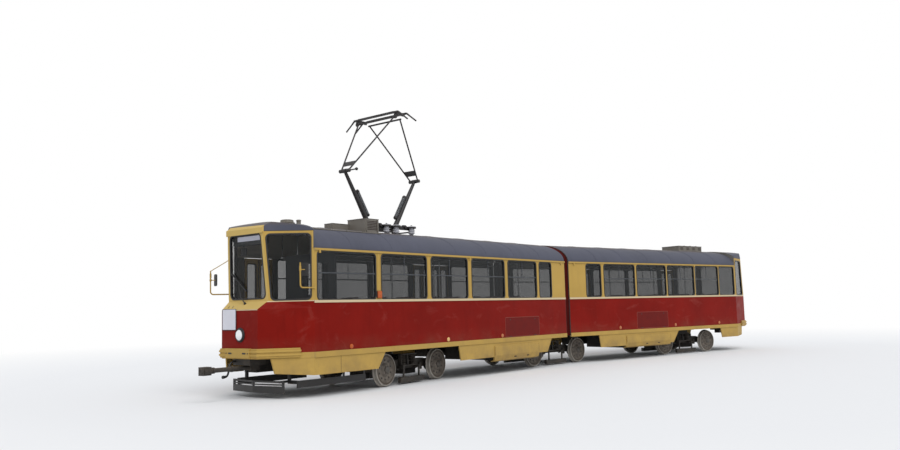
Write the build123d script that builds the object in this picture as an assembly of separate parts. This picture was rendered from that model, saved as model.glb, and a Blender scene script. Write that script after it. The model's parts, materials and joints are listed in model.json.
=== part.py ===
from build123d import *
import os
from math import atan2, cos, hypot, radians, sin, sqrt

# Millimetres. X runs to the rear along the front section, +Y is the door side, +Z is up.
# The origin is the pivot between the two sections, at the height of the flange bottoms.
# The rear section is drawn straight and then turned by the bend about the pivot.

# Wheels and bogies
FLANGE_DEPTH = 22
WHEEL_R = 327
TYRE_W = 100
FLANGE_W = 30
FLANGE_TAPER = 10
BACK_TO_BACK = 1360
WEB_T = 34
TYRE_T = 62
HUB_R = 105
HUB_OUT = 12
AXLE_R = 65
WHEELBASE = 1900
BOGIE_PITCH = 6000
BEND = 12.3
BOGIE_YAW = BEND / 2
FRAME_Y = 520
FRAME_W = 110
FRAME_H = 130
FRAME_DROP = 70
AXLE_BOX_R = 135
SPRING_R = 85
BOLSTER_W = 420
TRANSOM_R = 62
TRANSOM_X = 330
PIVOT_R = 75
RUN_GAP = 0.05
SEAT_GAP = 0.3
BRAKE_LEN = 860
BRAKE_H = 110
BRAKE_W = 80
BRAKE_LIFT = 12
MOTOR_LEN = 440
MOTOR_W = 480
MOTOR_H = 420
MOTOR_LOW = 150
GUARD_T = 25

# Heights
RAIL = FLANGE_DEPTH
AXLE_Z = RAIL + WHEEL_R
BAND_LOW = RAIL + 720
BAND_TOP = RAIL + 824
FLOOR_Z = RAIL + 900
SILL_Z = RAIL + 1722
SILL_H = 48
WINDOW_LOW = RAIL + 1775
WINDOW_TOP = RAIL + 2680
GUTTER_LOW = RAIL + 2700
GUTTER_TOP = RAIL + 2740
ROOF_RISE = 520
CAB_SILL_Z = RAIL + 1780
LEDGE_LOW = RAIL + 1630
CAB_GLASS_TOP = RAIL + 3035
CAB_WALL_TOP = RAIL + 3065
FASCIA_TOP = RAIL + 3160
CAB_CROWN = RAIL + 3270
CAB_CAP_FRONT = FASCIA_TOP - 15
CAB_CAP_RUN = 380
TAIL_GLASS_TOP = RAIL + 2932
TAIL_WALL_TOP = RAIL + 2988
TAIL_CROWN = GUTTER_TOP + ROOF_RISE
TAIL_CAP_FRONT = TAIL_WALL_TOP + 30
TAIL_CAP_RUN = 520
FLOOR_T = 60

# Body shell
HALF_W = 1200
WALL_T = 45
ROOF_T = 40
PLATE_T = 20
SECTION_END = 225
BAND_PROUD = 12
GUTTER_PROUD = 22
WINDOW_R = 75
PANE_T = 6

# Plan of the two tapered ends: where the taper starts, where it ends, and half widths there
CAB_BACK = 9080
CAB_DEPTH = 780
CAB_NOSE = CAB_BACK + CAB_DEPTH
CAB_NOSE_HALF = 540
LEDGE_RUN = 200
SCREEN_LEAN = 80
CAB_SCREEN_LOW = CAB_NOSE - LEDGE_RUN
CAB_SCREEN_LOW_HALF = 600
CAB_SCREEN_TOP = CAB_SCREEN_LOW + SCREEN_LEAN
CAB_SCREEN_TOP_HALF = 530
TAIL_BACK = 8140
TAIL_DEPTH = 1010
TAIL_LEAN = 30
TAIL_NOSE = TAIL_BACK + TAIL_DEPTH
TAIL_NOSE_HALF = 850
TAIL_TOP = TAIL_NOSE - TAIL_LEAN
TAIL_TOP_HALF = 830

# Side windows, left side: start and end along each section, measured from the pivot
FRONT_LEFT_WINDOWS = (
    (-9000, -7450), (-7290, -5890), (-5740, -4460), (-4300, -3010), (-2860, -1600), (-1470, -890),
)
REAR_LEFT_WINDOWS = (
    (910, 1520), (1650, 2990), (3090, 4460), (4530, 5880), (5940, 7180), (7230, 8080),
)

# Doors: first post along the section, leaves, section
LEAF_W = 345
LEAF_T = 35
LEAF_GAP = 6
POST_GAP = 12
HINGE_IN = 40
HINGE_OUT = 6
DOOR_IN = 5
DOOR_PIN_R = 9
DOOR_LOW = RAIL + 430
DOOR_TOP = GUTTER_LOW - 15
TREAD_LOW_Z = RAIL + 405
TREAD_MID_Z = RAIL + 650
TREAD_T = 25
TREAD_LOW_IN = 450
TREAD_MID_IN = 730
DOORS = (
    ("front", -CAB_BACK + 200, 2), ("middle", -3700, 4), ("trailing", 2300, 4), ("rear", TAIL_BACK - 810, 2),
)

# Skirts: section, top from, top to, bottom from, bottom to, bottom height above the rail
SKIRT_T = 25
SKIRT_IN = 6
FRONT_SKIRTS = (
    (-CAB_BACK, -BOGIE_PITCH - 1200, -CAB_BACK, -BOGIE_PITCH - 1410, 400),
    (-BOGIE_PITCH + 1170, -970, -BOGIE_PITCH + 1230, -1180, 390),
)
REAR_SKIRTS = (
    (1360, BOGIE_PITCH - 1030, 1420, BOGIE_PITCH - 1300, 380),
    (BOGIE_PITCH + 1190, TAIL_BACK, BOGIE_PITCH + 1260, TAIL_BACK, 420),
)
POD_OUT = 22
FRONT_POD = (-3500, -1600, 270)
REAR_POD = (2500, 4550, 310)

# Bumpers, couplers and lifeguard
BUMPER_LOW = RAIL + 740
BUMPER_TOP = RAIL + 910
BUMPER_T = 30
BUMPER_RIB = 18
BUMPER_BOX_HALF = 360
FRONT_BUMPER_BACK = CAB_BACK + 215
REAR_BUMPER_BACK = TAIL_BACK + 460
COUPLER_OUT = 820
COUPLER_Z = RAIL + 690
COUPLER_PIN_R = 21
COUPLER_HEAD_H = 150

# Pantograph, measured from its own middle
PANTO_X = -6000
PANTO_BASE_Z = RAIL + 3400
BASE_HALF = 400
LOWER_LEN = 1370
UPPER_LEN = 1600
APEX_HALF = 140
LOWER_RISE = 58
LOWER_R = 42
UPPER_R = 17
UPPER_TOP_Y = 520
TOP_STAGGER = 40
HUB_W = 35
KNEE_HALF = 150
KNEE_R = 45
SHAFT_R = 30
BASE_FRAME = (-500, 720)
BASE_RAIL_IN = 270
BASE_RAIL_OUT = 330
BASE_RAIL_H = 80
BASE_REACH = 360
INSULATOR_X = (-260, 50, 560)
INSULATOR_R = 40
INSULATOR_CAP_R = 105
INSULATOR_Y = 385
PAN_HALF = 690
PAN_W = 55
PAN_T = 36
PAN_RISE = 120
HORN_OUT = 270
HORN_DROP = 230
HORN_R = 17

# Seats and rails
SEAT_Y = 900
SEAT_W = 430
SEAT_D = 420
SEAT_Z = 440
SEAT_T = 50
SEAT_BACK = 480
POLE_R = 17


def box(x0, x1, y0, y1, z0, z1):
    size = (x1 - x0, y1 - y0, z1 - z0)
    return Pos(x0, y0, z0) * Box(*size, align=(Align.MIN, Align.MIN, Align.MIN))


def disc(x, y, z0, z1, r):
    return Pos(x, y, z0) * Cylinder(r, z1 - z0, align=(Align.CENTER, Align.CENTER, Align.MIN))


def bar_y(x, z, y0, y1, r):
    turn = Pos(x, y0, z) * Rot(-90, 0, 0)
    return turn * Cylinder(r, y1 - y0, align=(Align.CENTER, Align.CENTER, Align.MIN))


def bar_x(y, z, x0, x1, r):
    turn = Pos(x0, y, z) * Rot(0, 90, 0)
    return turn * Cylinder(r, x1 - x0, align=(Align.CENTER, Align.CENTER, Align.MIN))


def rod(p, q, r):
    p, q = Vector(*p), Vector(*q)
    place = Plane(origin=p, z_dir=q - p).location
    return place * Cylinder(r, (q - p).length, align=(Align.CENTER, Align.CENTER, Align.MIN))


def side_prism(points, y0, y1):
    """A prism of an outline in X and Z, from y0 to y1."""
    face = Face(Wire.make_polygon([Vector(x, y0, z) for x, z in points], close=True))
    return extrude(face, amount=y1 - y0, dir=(0, 1, 0))


def plan_prism(points, z0, z1):
    """A prism of an outline in X and Y, from z0 to z1."""
    face = Face(Wire.make_polygon([Vector(x, y, z0) for x, y in points], close=True))
    return extrude(face, amount=z1 - z0, dir=(0, 0, 1))


def rounded_hole(x0, x1, z0, z1, r, y, depth):
    """A window cutter or pane across a side wall, in the middle of its depth at y."""
    place = Plane(origin=((x0 + x1) / 2, y, (z0 + z1) / 2), x_dir=(1, 0, 0), z_dir=(0, -1, 0))
    return extrude(place * RectangleRounded(x1 - x0, z1 - z0, r), amount=depth / 2, both=True)


def ring_solid(rings):
    """A closed solid of flat facets through rings of equal count, lowest first."""
    faces = [Face(Wire.make_polygon(rings[0], close=True)), Face(Wire.make_polygon(rings[-1], close=True))]
    for low, high in zip(rings, rings[1:]):
        for i in range(len(low)):
            j = (i + 1) % len(low)
            faces.append(Face(Wire.make_polygon([low[i], low[j], high[j]], close=True)))
            faces.append(Face(Wire.make_polygon([low[i], high[j], high[i]], close=True)))
    return Solid(Shell(faces))


def roof_profile(rise, half, low, inset=0):
    """The half ellipse of the roof across the car, as a face in the Y Z plane."""
    a, b = half - inset, rise - inset
    arc = EllipticalCenterArc((0, 0), a, b, start_angle=0, arc_size=180)
    base = Line((-a, 0), (a, 0))
    plane = Plane(origin=(0, 0, low), x_dir=(0, 1, 0), z_dir=(1, 0, 0))
    return plane * make_face([arc, base])


def arch(x0, x1, rise, half, low, inset=0):
    """A length of the roof's half ellipse, filled."""
    return Pos(x0, 0, 0) * extrude(roof_profile(rise, half, low, inset), amount=x1 - x0, dir=(1, 0, 0))


def door_span(start, leaves):
    """Where a doorway starts and ends along its section."""
    return start, start + 2 * POST_GAP + leaves * LEAF_W + (leaves - 1) * LEAF_GAP


def section_doors(front):
    return [door_span(x, n) for _, x, n in DOORS if (x < 0) == front]


def wall_edges(front):
    return (-CAB_BACK, -SECTION_END) if front else (SECTION_END, TAIL_BACK)


def wall_trim(x0, x1, side):
    """The cream band and the sill strip, both a little proud of the wall."""
    out = HALF_W + BAND_PROUD
    low, high = sorted((side * (HALF_W - WALL_T / 2), side * out))
    band = box(x0, x1, low, high, BAND_LOW, BAND_TOP)
    sill = box(x0, x1, low, high - BAND_PROUD / 2 if side > 0 else high, SILL_Z, SILL_Z + SILL_H)
    return band + sill


def left_wall(front):
    x0, x1 = wall_edges(front)
    wall = box(x0, x1, -HALF_W, -HALF_W + WALL_T, BAND_LOW, GUTTER_LOW)
    wall += wall_trim(x0, x1, -1)
    for a, b in FRONT_LEFT_WINDOWS if front else REAR_LEFT_WINDOWS:
        wall -= rounded_hole(a, b, WINDOW_LOW, WINDOW_TOP, WINDOW_R, -HALF_W, 4 * WALL_T)
    return wall


def right_stretches(front):
    """The stretches of the door side's wall between doorways."""
    x0, x1 = wall_edges(front)
    cuts = [x0]
    for a, b in section_doors(front):
        cuts += [a, b]
    cuts.append(x1)
    return list(zip(cuts[::2], cuts[1::2]))


WINDOW_MAX = 1500
WINDOW_MIN = 420
PILLAR = 130


def right_windows(front):
    """Windows evenly spaced in each stretch that is long enough for one."""
    spans = []
    for a, b in right_stretches(front):
        room = b - a - PILLAR
        if room < WINDOW_MIN + PILLAR:
            continue
        count = max(1, round(room / (WINDOW_MAX + PILLAR)))
        pitch = room / count
        spans += [(a + PILLAR + i * pitch, a + (i + 1) * pitch) for i in range(count)]
    return spans


def right_wall(front):
    pieces = []
    for a, b in right_stretches(front):
        piece = box(a, b, HALF_W - WALL_T, HALF_W, BAND_LOW, GUTTER_LOW) + wall_trim(a, b, 1)
        for c, d in right_windows(front):
            if a <= c and d <= b:
                piece -= rounded_hole(c, d, WINDOW_LOW, WINDOW_TOP, WINDOW_R, HALF_W, 4 * WALL_T)
        pieces.append(piece)
    return pieces


def side_panes(front):
    windows = FRONT_LEFT_WINDOWS if front else REAR_LEFT_WINDOWS
    y = HALF_W - WALL_T / 2
    panes = []
    for side, spans in ((-1, windows), (1, right_windows(front))):
        for a, b in spans:
            g = SEAT_GAP
            pane = rounded_hole(a + g, b - g, WINDOW_LOW + g, WINDOW_TOP - g, WINDOW_R - g, side * y, PANE_T)
            panes.append(pane)
    return panes


def saloon_roof(front):
    """The arched roof with its gutters and, over the doors, the cantrail."""
    x0, x1 = wall_edges(front)
    roof = arch(x0, x1, ROOF_RISE, HALF_W, GUTTER_TOP) - arch(x0, x1, ROOF_RISE, HALF_W, GUTTER_TOP, ROOF_T)
    for side in (-1, 1):
        low, high = sorted((side * (HALF_W - WALL_T), side * (HALF_W + GUTTER_PROUD)))
        roof += box(x0, x1, low, high, GUTTER_LOW, GUTTER_TOP)
    return roof


def end_plan(sign, back, nose, half, inset=0):
    """The plan of a tapered end, counted from the left back corner round the nose."""
    run, rise = nose - back, HALF_W - half
    lean = inset * hypot(run, rise) / run
    slope = rise / run
    tip = nose - inset
    tip_half = HALF_W - lean - slope * (tip - back)
    side = HALF_W - lean
    return [(sign * back, -side), (sign * tip, -tip_half), (sign * tip, tip_half), (sign * back, side)]


def ring_at(sign, back, nose, half, z, inset=0):
    return [Vector(x, y, z) for x, y in end_plan(sign, back, nose, half, inset)]


def cab_levels(inset, base, top):
    rows = (
        (CAB_NOSE, CAB_NOSE_HALF, base),
        (CAB_NOSE, CAB_NOSE_HALF, LEDGE_LOW),
        (CAB_SCREEN_LOW, CAB_SCREEN_LOW_HALF, CAB_SILL_Z),
        (CAB_SCREEN_TOP, CAB_SCREEN_TOP_HALF, top),
    )
    return [ring_at(-1, CAB_BACK, nose, half, z, inset) for nose, half, z in rows]


def tail_levels(inset, base, top):
    rows = (
        (TAIL_NOSE, TAIL_NOSE_HALF, base),
        (TAIL_NOSE, TAIL_NOSE_HALF, SILL_Z),
        (TAIL_TOP, TAIL_TOP_HALF, top),
    )
    return [ring_at(1, TAIL_BACK, nose, half, z, inset) for nose, half, z in rows]


CAP_FLAT = 2


def cap_profile(sign, back, nose, crown, front_z, run):
    """The side view of an end's roof: level at the crown, then rounded down to the nose."""
    start, tip = sign * (nose - run), sign * (nose + 1)
    bend = (sign * (nose - run * 0.29), front_z + (crown - front_z) * 0.71)
    edges = [
        Line((sign * back, 0), (sign * back, crown)), Line((sign * back, crown), (start, crown)),
        ThreePointArc((start, crown), bend, (tip, front_z)), Line((tip, front_z), (tip, 0)),
        Line((tip, 0), (sign * back, 0)),
    ]
    return extrude(Plane.XZ * make_face(edges), amount=2 * HALF_W, both=True)


def end_cap(end):
    """The roof over a tapered end: the arch cut to the end's plan and side view, hollow below."""
    sign, back, nose, half, wall_top, crown, front_z, run = end
    x0, x1 = sorted((sign * back, sign * nose))
    outer = arch(x0, x1, crown - wall_top, HALF_W, wall_top)
    outer &= plan_prism(end_plan(sign, back, nose, half), wall_top, crown)
    outer &= cap_profile(sign, back, nose, crown - CAP_FLAT, front_z, run)
    inner = arch(x0, x1, crown - wall_top, HALF_W, wall_top, ROOF_T)
    inner &= plan_prism(end_plan(sign, back, nose, half, WALL_T), wall_top - 1, crown)
    inner &= cap_profile(sign, back, nose, crown - ROOF_T - CAP_FLAT, front_z - ROOF_T, run)
    return outer - inner


def screen_outline(low, top, half_low, half_top, r):
    """The rounded trapezium of an end window, in Y and Z."""
    pts = [(-half_low, low), (half_low, low), (half_top, top), (-half_top, top)]
    sketch = Polygon(*pts, align=None)
    return fillet(sketch.vertices(), r)


def across_x(sketch, x, depth):
    plane = Plane(origin=(x, 0, 0), x_dir=(0, 1, 0), z_dir=(1, 0, 0))
    return extrude(plane * sketch, amount=depth, both=True)


SCREEN_MARGIN = 70


def side_glass_cut(sign, side, back, nose, half, x_from, x_low, x_top, low, top, r, shrink=0, depth=200):
    """The opening of an end's side window in its tapered wall, with its outer edge leaning."""
    run, rise = nose - back, HALF_W - half
    angle = atan2(rise, run)
    along = Vector(sign * cos(angle), -side * sin(angle), 0)
    out = Vector(sign * sin(angle), side * cos(angle), 0)
    origin = Vector(sign * back, side * HALF_W, 0) - out * (WALL_T / 2)
    place = Plane(origin=origin, x_dir=along, z_dir=out)
    up = -sign * side
    near, far_low, far_top = [(x - back) / cos(angle) for x in (x_from, x_low, x_top)]
    corners = [
        (near + shrink, up * (low + shrink)), (far_low - shrink, up * (low + shrink)),
        (far_top - shrink, up * (top - shrink)), (near + shrink, up * (top - shrink)),
    ]
    sketch = Polygon(*corners, align=None)
    return extrude(place * fillet(sketch.vertices(), r), amount=depth, both=True)


def cab_windows(shrink=0):
    """The windscreen and the two side windows of the cab, as cutters."""
    low, top = CAB_SILL_Z + 45 + shrink, CAB_GLASS_TOP - shrink
    half_low = CAB_SCREEN_LOW_HALF - SCREEN_MARGIN - shrink
    half_top = CAB_SCREEN_TOP_HALF - SCREEN_MARGIN - shrink
    outline = screen_outline(low, top, half_low, half_top, WINDOW_R + 20 - shrink)
    screen = across_x(outline, -CAB_SCREEN_TOP, 220)
    sides = [
        side_glass_cut(-1, side, CAB_BACK, CAB_SCREEN_LOW, CAB_SCREEN_LOW_HALF, CAB_BACK + 40,
                       CAB_SCREEN_LOW - 38, CAB_SCREEN_TOP - 48, CAB_SILL_Z + 10, CAB_GLASS_TOP - 30,
                       WINDOW_R, shrink)
        for side in (-1, 1)
    ]
    return [screen] + sides


def tail_windows(shrink=0):
    low, top = WINDOW_LOW + shrink, TAIL_GLASS_TOP - shrink
    half_low = TAIL_NOSE_HALF - SCREEN_MARGIN - shrink
    half_top = TAIL_TOP_HALF - SCREEN_MARGIN - shrink
    outline = screen_outline(low, top, half_low, half_top, WINDOW_R + 20 - shrink)
    screen = across_x(outline, TAIL_TOP, 220)
    sides = [
        side_glass_cut(1, side, TAIL_BACK, TAIL_NOSE, TAIL_NOSE_HALF, TAIL_BACK + 120, TAIL_NOSE - 130,
                       TAIL_NOSE - 130, WINDOW_LOW, TAIL_GLASS_TOP - 35, WINDOW_R, shrink)
        for side in (-1, 1)
    ]
    return [screen] + sides


def closing_plate(end):
    """The upright plate that closes an end above the lower arch of the saloon's roof."""
    sign, back, _, _, wall_top, crown, _, _ = end
    x0, x1 = sorted((sign * back, sign * (back + PLATE_T)))
    plate = box(x0, x1, -HALF_W, HALF_W, GUTTER_TOP, wall_top)
    plate += arch(x0, x1, crown - wall_top, HALF_W, wall_top)
    return plate - arch(x0 - PLATE_T, x1 + PLATE_T, ROOF_RISE, HALF_W, GUTTER_TOP, ROOF_T)


def end_shell(levels, windows, end):
    back, wall_top = end[1], end[4]
    outer = ring_solid(levels(0, BAND_LOW, wall_top))
    inner = ring_solid(levels(WALL_T, BAND_LOW - 1, wall_top + 1))
    keep = box(-back, back, -2 * HALF_W, 2 * HALF_W, 0, 2 * CAB_CROWN)
    shell = outer - inner - keep
    shell += end_cap(end) + closing_plate(end)
    for cut in windows():
        shell -= cut
    return shell


def end_glass(levels, windows, wall_top):
    """Panes cut from a thin skin in the middle of the end's wall."""
    mid = (WALL_T - PANE_T) / 2
    outer = ring_solid(levels(mid, BAND_LOW, wall_top))
    inner = ring_solid(levels(mid + PANE_T, BAND_LOW - 1, wall_top + 1))
    skin = outer - inner
    return [skin & cut for cut in windows(SEAT_GAP)]


def fascia():
    """The shallow box over the windscreen."""
    front = -CAB_SCREEN_TOP - 25
    half = CAB_SCREEN_TOP_HALF + 15
    outline = [
        (front, CAB_WALL_TOP - 30), (front, FASCIA_TOP - 20), (front + 25, FASCIA_TOP),
        (front + 130, FASCIA_TOP), (front + 130, CAB_WALL_TOP + 5), (front + 30, CAB_WALL_TOP - 30),
    ]
    return side_prism(outline, -half, half)


DISC_R = 800
DISC_GAP = 25
ARM_W = 220
ARM_T = 55
FRONT_ARM_Z = 700
REAR_ARM_Z = FRONT_ARM_Z + ARM_T + 8
ARM_ROOT = 1020
SOLE_W = 70
CROSS_T = 60
CROSS_X = (900, 1350, 2400, 3500, BOGIE_PITCH - 1350, BOGIE_PITCH + 1350)
BOLSTER_HALF_X = 240
BOLSTER_HALF_Y = 420
BOLSTER_Z = 700
EQUIPMENT = ((-3400, -1750), (2600, BOGIE_PITCH - 1600))
EQUIPMENT_LEFT = 1060
EQUIPMENT_LOW = 330


def floor_plan(front):
    if front:
        tip, tip_half, back = CAB_NOSE, CAB_NOSE_HALF, CAB_BACK
    else:
        tip, tip_half, back = TAIL_NOSE, TAIL_NOSE_HALF, TAIL_BACK
    sign = -1 if front else 1
    plan = end_plan(sign, back, tip, tip_half, WALL_T + 1)
    inner = HALF_W - WALL_T - 1
    return plan + [(sign * SECTION_END, inner), (sign * SECTION_END, -inner)]


def underframe(front):
    """Floor, sole bars, cross members, bolster, pivot arm, step wells and equipment case."""
    sign = -1 if front else 1
    end = CAB_NOSE if front else TAIL_NOSE
    frame = plan_prism(floor_plan(front), FLOOR_Z - FLOOR_T, FLOOR_Z)
    back = CAB_BACK if front else TAIL_BACK
    far, near = sorted((sign * back, sign * ARM_ROOT))
    for side in (-1, 1):
        y0, y1 = sorted((side * (HALF_W - WALL_T - 1 - SOLE_W), side * (HALF_W - WALL_T - 1)))
        frame += box(far, near, y0, y1, BAND_LOW, FLOOR_Z - FLOOR_T)
    reach = HALF_W - WALL_T - SOLE_W / 2
    for x in CROSS_X:
        mid = sign * x
        frame += box(mid - CROSS_T / 2, mid + CROSS_T / 2, -reach, reach, BAND_LOW + 20, FLOOR_Z - FLOOR_T)
    pivot = sign * BOGIE_PITCH
    frame += box(pivot - BOLSTER_HALF_X, pivot + BOLSTER_HALF_X, -BOLSTER_HALF_Y, BOLSTER_HALF_Y,
                 BOLSTER_Z + 40, FLOOR_Z - FLOOR_T)
    frame -= disc(pivot, 0, 0, FLOOR_Z - FLOOR_T, PIVOT_R + RUN_GAP)
    frame -= disc(0, 0, 0, 2 * FLOOR_Z, DISC_R + DISC_GAP)
    for a, b in section_doors(front):
        frame -= box(a, b, HALF_W - TREAD_MID_IN, HALF_W, 0, 2 * FLOOR_Z)
        frame += step_well(a, b)
    low = FRONT_ARM_Z if front else REAR_ARM_Z
    x0, x1 = sorted((0, sign * ARM_ROOT))
    arm = box(x0, x1, -ARM_W / 2, ARM_W / 2, low, low + ARM_T) + disc(0, 0, low, low + ARM_T, ARM_W / 2 + 20)
    arm -= disc(0, 0, 0, FLOOR_Z, PIVOT_R + RUN_GAP)
    x0, x1 = sorted((sign * (ARM_ROOT - 130), sign * (ARM_ROOT + 40)))
    arm += box(x0, x1, -ARM_W, ARM_W, low, FLOOR_Z - FLOOR_T)
    frame += arm
    a, b = EQUIPMENT[0 if front else 1]
    frame += box(a, b, -EQUIPMENT_LEFT, HALF_W - TREAD_MID_IN - 60, EQUIPMENT_LOW, FLOOR_Z - FLOOR_T)
    x0, x1 = sorted((sign * (end - 420), sign * (end - WALL_T - 2)))
    return frame + box(x0, x1, -250, 250, COUPLER_Z - 90, FLOOR_Z - FLOOR_T)


def step_well(a, b):
    """Two treads with risers and cheeks behind a doorway."""
    y_out = HALF_W - LEAF_T - 45
    y_low = HALF_W - TREAD_LOW_IN
    y_mid = HALF_W - TREAD_MID_IN
    t = TREAD_T
    well = box(a, b, y_low, y_out, TREAD_LOW_Z - t, TREAD_LOW_Z)
    well += box(a, b, y_low - t, y_low, TREAD_LOW_Z - t, TREAD_MID_Z)
    well += box(a, b, y_mid, y_low, TREAD_MID_Z - t, TREAD_MID_Z)
    well += box(a, b, y_mid - t, y_mid, TREAD_MID_Z - t, FLOOR_Z)
    for x in (a - t, b):
        well += box(x, x + t, y_low - t, y_out, TREAD_LOW_Z - t, FLOOR_Z - FLOOR_T)
        well += box(x, x + t, y_mid - t, y_low, TREAD_MID_Z - t, FLOOR_Z - FLOOR_T)
    return well


def skirt_panel(row, side, openings):
    top_a, top_b, low_a, low_b, low = row
    y0, y1 = sorted((side * (HALF_W - SKIRT_IN - SKIRT_T), side * (HALF_W - SKIRT_IN)))
    z = RAIL + low
    panel = side_prism([(top_a, BAND_LOW), (low_a, z), (low_b, z), (top_b, BAND_LOW)], y0, y1)
    for a, b in openings if side > 0 else []:
        panel -= box(a, b, y0 - 1, y1 + 1, 0, BAND_LOW + 1)
    return panel


def pod(row, side, openings):
    """The bulging lower panel in the middle of a skirt."""
    a, b, low = row
    y = HALF_W - SKIRT_IN
    z = RAIL + low
    pts = [
        (y - SKIRT_T, BAND_LOW - 60), (y + POD_OUT, BAND_LOW - 75), (y + POD_OUT, z + 150), (y - 15, z + 30),
        (y - 120, z), (y - 120, z + SKIRT_T), (y - SKIRT_T - 15, z + 50), (y - SKIRT_T, z + 160),
    ]
    face = Face(Wire.make_polygon([Vector(a, side * v, w) for v, w in pts], close=True))
    panel = extrude(face, amount=b - a, dir=(1, 0, 0))
    for c, d in openings if side > 0 else []:
        panel -= box(c - TREAD_T - 3, d + TREAD_T + 3, 0, 2 * HALF_W, 0, 2 * BAND_LOW)
    return panel


def skirts(front):
    rows, pod_row = (FRONT_SKIRTS, FRONT_POD) if front else (REAR_SKIRTS, REAR_POD)
    openings = section_doors(front)
    pieces = []
    for side in (-1, 1):
        panels = [skirt_panel(row, side, openings) for row in rows]
        middle = 1 if front else 0
        panels[middle] += pod(pod_row, side, openings)
        outer = 0 if front else 1
        panels[outer] += end_skirt(front, side)
        pieces += panels
    return [solid for piece in pieces for solid in piece.solids()]


END_SKIRT = (
    (CAB_BACK, CAB_BACK + 590, CAB_BACK, CAB_BACK + 540, 450),
    (TAIL_BACK, TAIL_BACK + 560, TAIL_BACK, TAIL_BACK + 500, 455),
)


def end_skirt(front, side):
    """The skirt's last stretch, which follows the end's taper in plan."""
    sign = -1 if front else 1
    if front:
        back, nose, half = CAB_BACK, CAB_NOSE, CAB_NOSE_HALF
    else:
        back, nose, half = TAIL_BACK, TAIL_NOSE, TAIL_NOSE_HALF
    top_a, top_b, low_a, low_b, low = END_SKIRT[0 if front else 1]
    low_start = RAIL + (FRONT_SKIRTS[0][4] if front else REAR_SKIRTS[1][4])
    corners = ((top_a, BAND_LOW), (low_a, low_start), (low_b, RAIL + low), (top_b, BAND_LOW))
    outline = side_prism([(sign * x, z) for x, z in corners], -2 * HALF_W, 2 * HALF_W)
    ring = plan_prism(end_plan(sign, back, nose, half, SKIRT_IN), 0, BAND_LOW)
    ring -= plan_prism(end_plan(sign, back, nose, half, SKIRT_IN + SKIRT_T), 0, BAND_LOW)
    y0, y1 = sorted((0, side * 2 * HALF_W))
    return outline & ring & box(-2 * nose, 2 * nose, y0, y1, 0, BAND_LOW)


def bumper(front):
    """A ribbed bar round the nose with a plain middle box."""
    sign = -1 if front else 1
    if front:
        back, nose, half, start = CAB_BACK, CAB_NOSE, CAB_NOSE_HALF, FRONT_BUMPER_BACK
    else:
        back, nose, half, start = TAIL_BACK, TAIL_NOSE, TAIL_NOSE_HALF, REAR_BUMPER_BACK
    inner = plan_prism(end_plan(sign, back, nose, half, -SEAT_GAP), 0, 2 * BUMPER_TOP)
    keep = box(*sorted((sign * start, sign * (nose + 500))), -2 * HALF_W, 2 * HALF_W, 0, 2 * BUMPER_TOP)
    bar = plan_prism(end_plan(sign, back, nose, half, -BUMPER_T), BUMPER_LOW, BUMPER_TOP)
    third = (BUMPER_TOP - BUMPER_LOW) / 5
    for i in (1, 3):
        bar += plan_prism(end_plan(sign, back, nose, half, -BUMPER_T - BUMPER_RIB), BUMPER_LOW + i * third,
                          BUMPER_LOW + (i + 1) * third)
    x0, x1 = sorted((sign * (nose + SEAT_GAP), sign * (nose + BUMPER_T + 28)))
    middle = box(x0, x1, -BUMPER_BOX_HALF, BUMPER_BOX_HALF, BUMPER_LOW, BUMPER_TOP + 5)
    return ((bar + middle) - inner) & keep


def coupler(front):
    """Drawbar in its pocket, with a head bored for the pin."""
    sign = -1 if front else 1
    nose = CAB_NOSE if front else TAIL_NOSE
    root = nose - 400
    tip = nose + COUPLER_OUT
    h = COUPLER_HEAD_H / 2
    x0, x1 = sorted((sign * root, sign * (tip - 60)))
    bar = bar_x(0, COUPLER_Z - 140, x0, x1, 42)
    x0, x1 = sorted((sign * root, sign * (root + 200)))
    pocket = box(x0, x1, -90, 90, COUPLER_Z - 190, COUPLER_Z - 90)
    x0, x1 = sorted((sign * (tip - 170), sign * tip))
    head = box(x0, x1, -75, 75, COUPLER_Z - 140 - h, COUPLER_Z - 140 + h)
    return (bar + pocket + head) - disc(sign * (tip - 70), 0, 0, 2 * COUPLER_Z, COUPLER_PIN_R)


GATE_TIP = -CAB_NOSE + 300
GATE_END = -CAB_NOSE + 410
GATE_HALF = 750
GATE_T = 35
GATE_BARS = ((80, 205), (225, 248), (270, 305))
ARM_Y = (620, 660)
GATE_ARM_Z = (RAIL + 265, RAIL + 305)
HANGER_X = -CAB_BACK - 100
HANGER_T = 60
PLANK_END = -BOGIE_PITCH - 1480
PLANK_HANGER = -BOGIE_PITCH - 2090
PLANK_Y = 900
PLANK_Z = (RAIL + 170, RAIL + 300)
STAY_T = 40
STAY_Y = (700, 740)


def mirrored(x0, x1, y0, y1, z0, z1):
    """A box on each side of the car's middle."""
    return box(x0, x1, y0, y1, z0, z1) + box(x0, x1, -y1, -y0, z0, z1)


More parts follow.
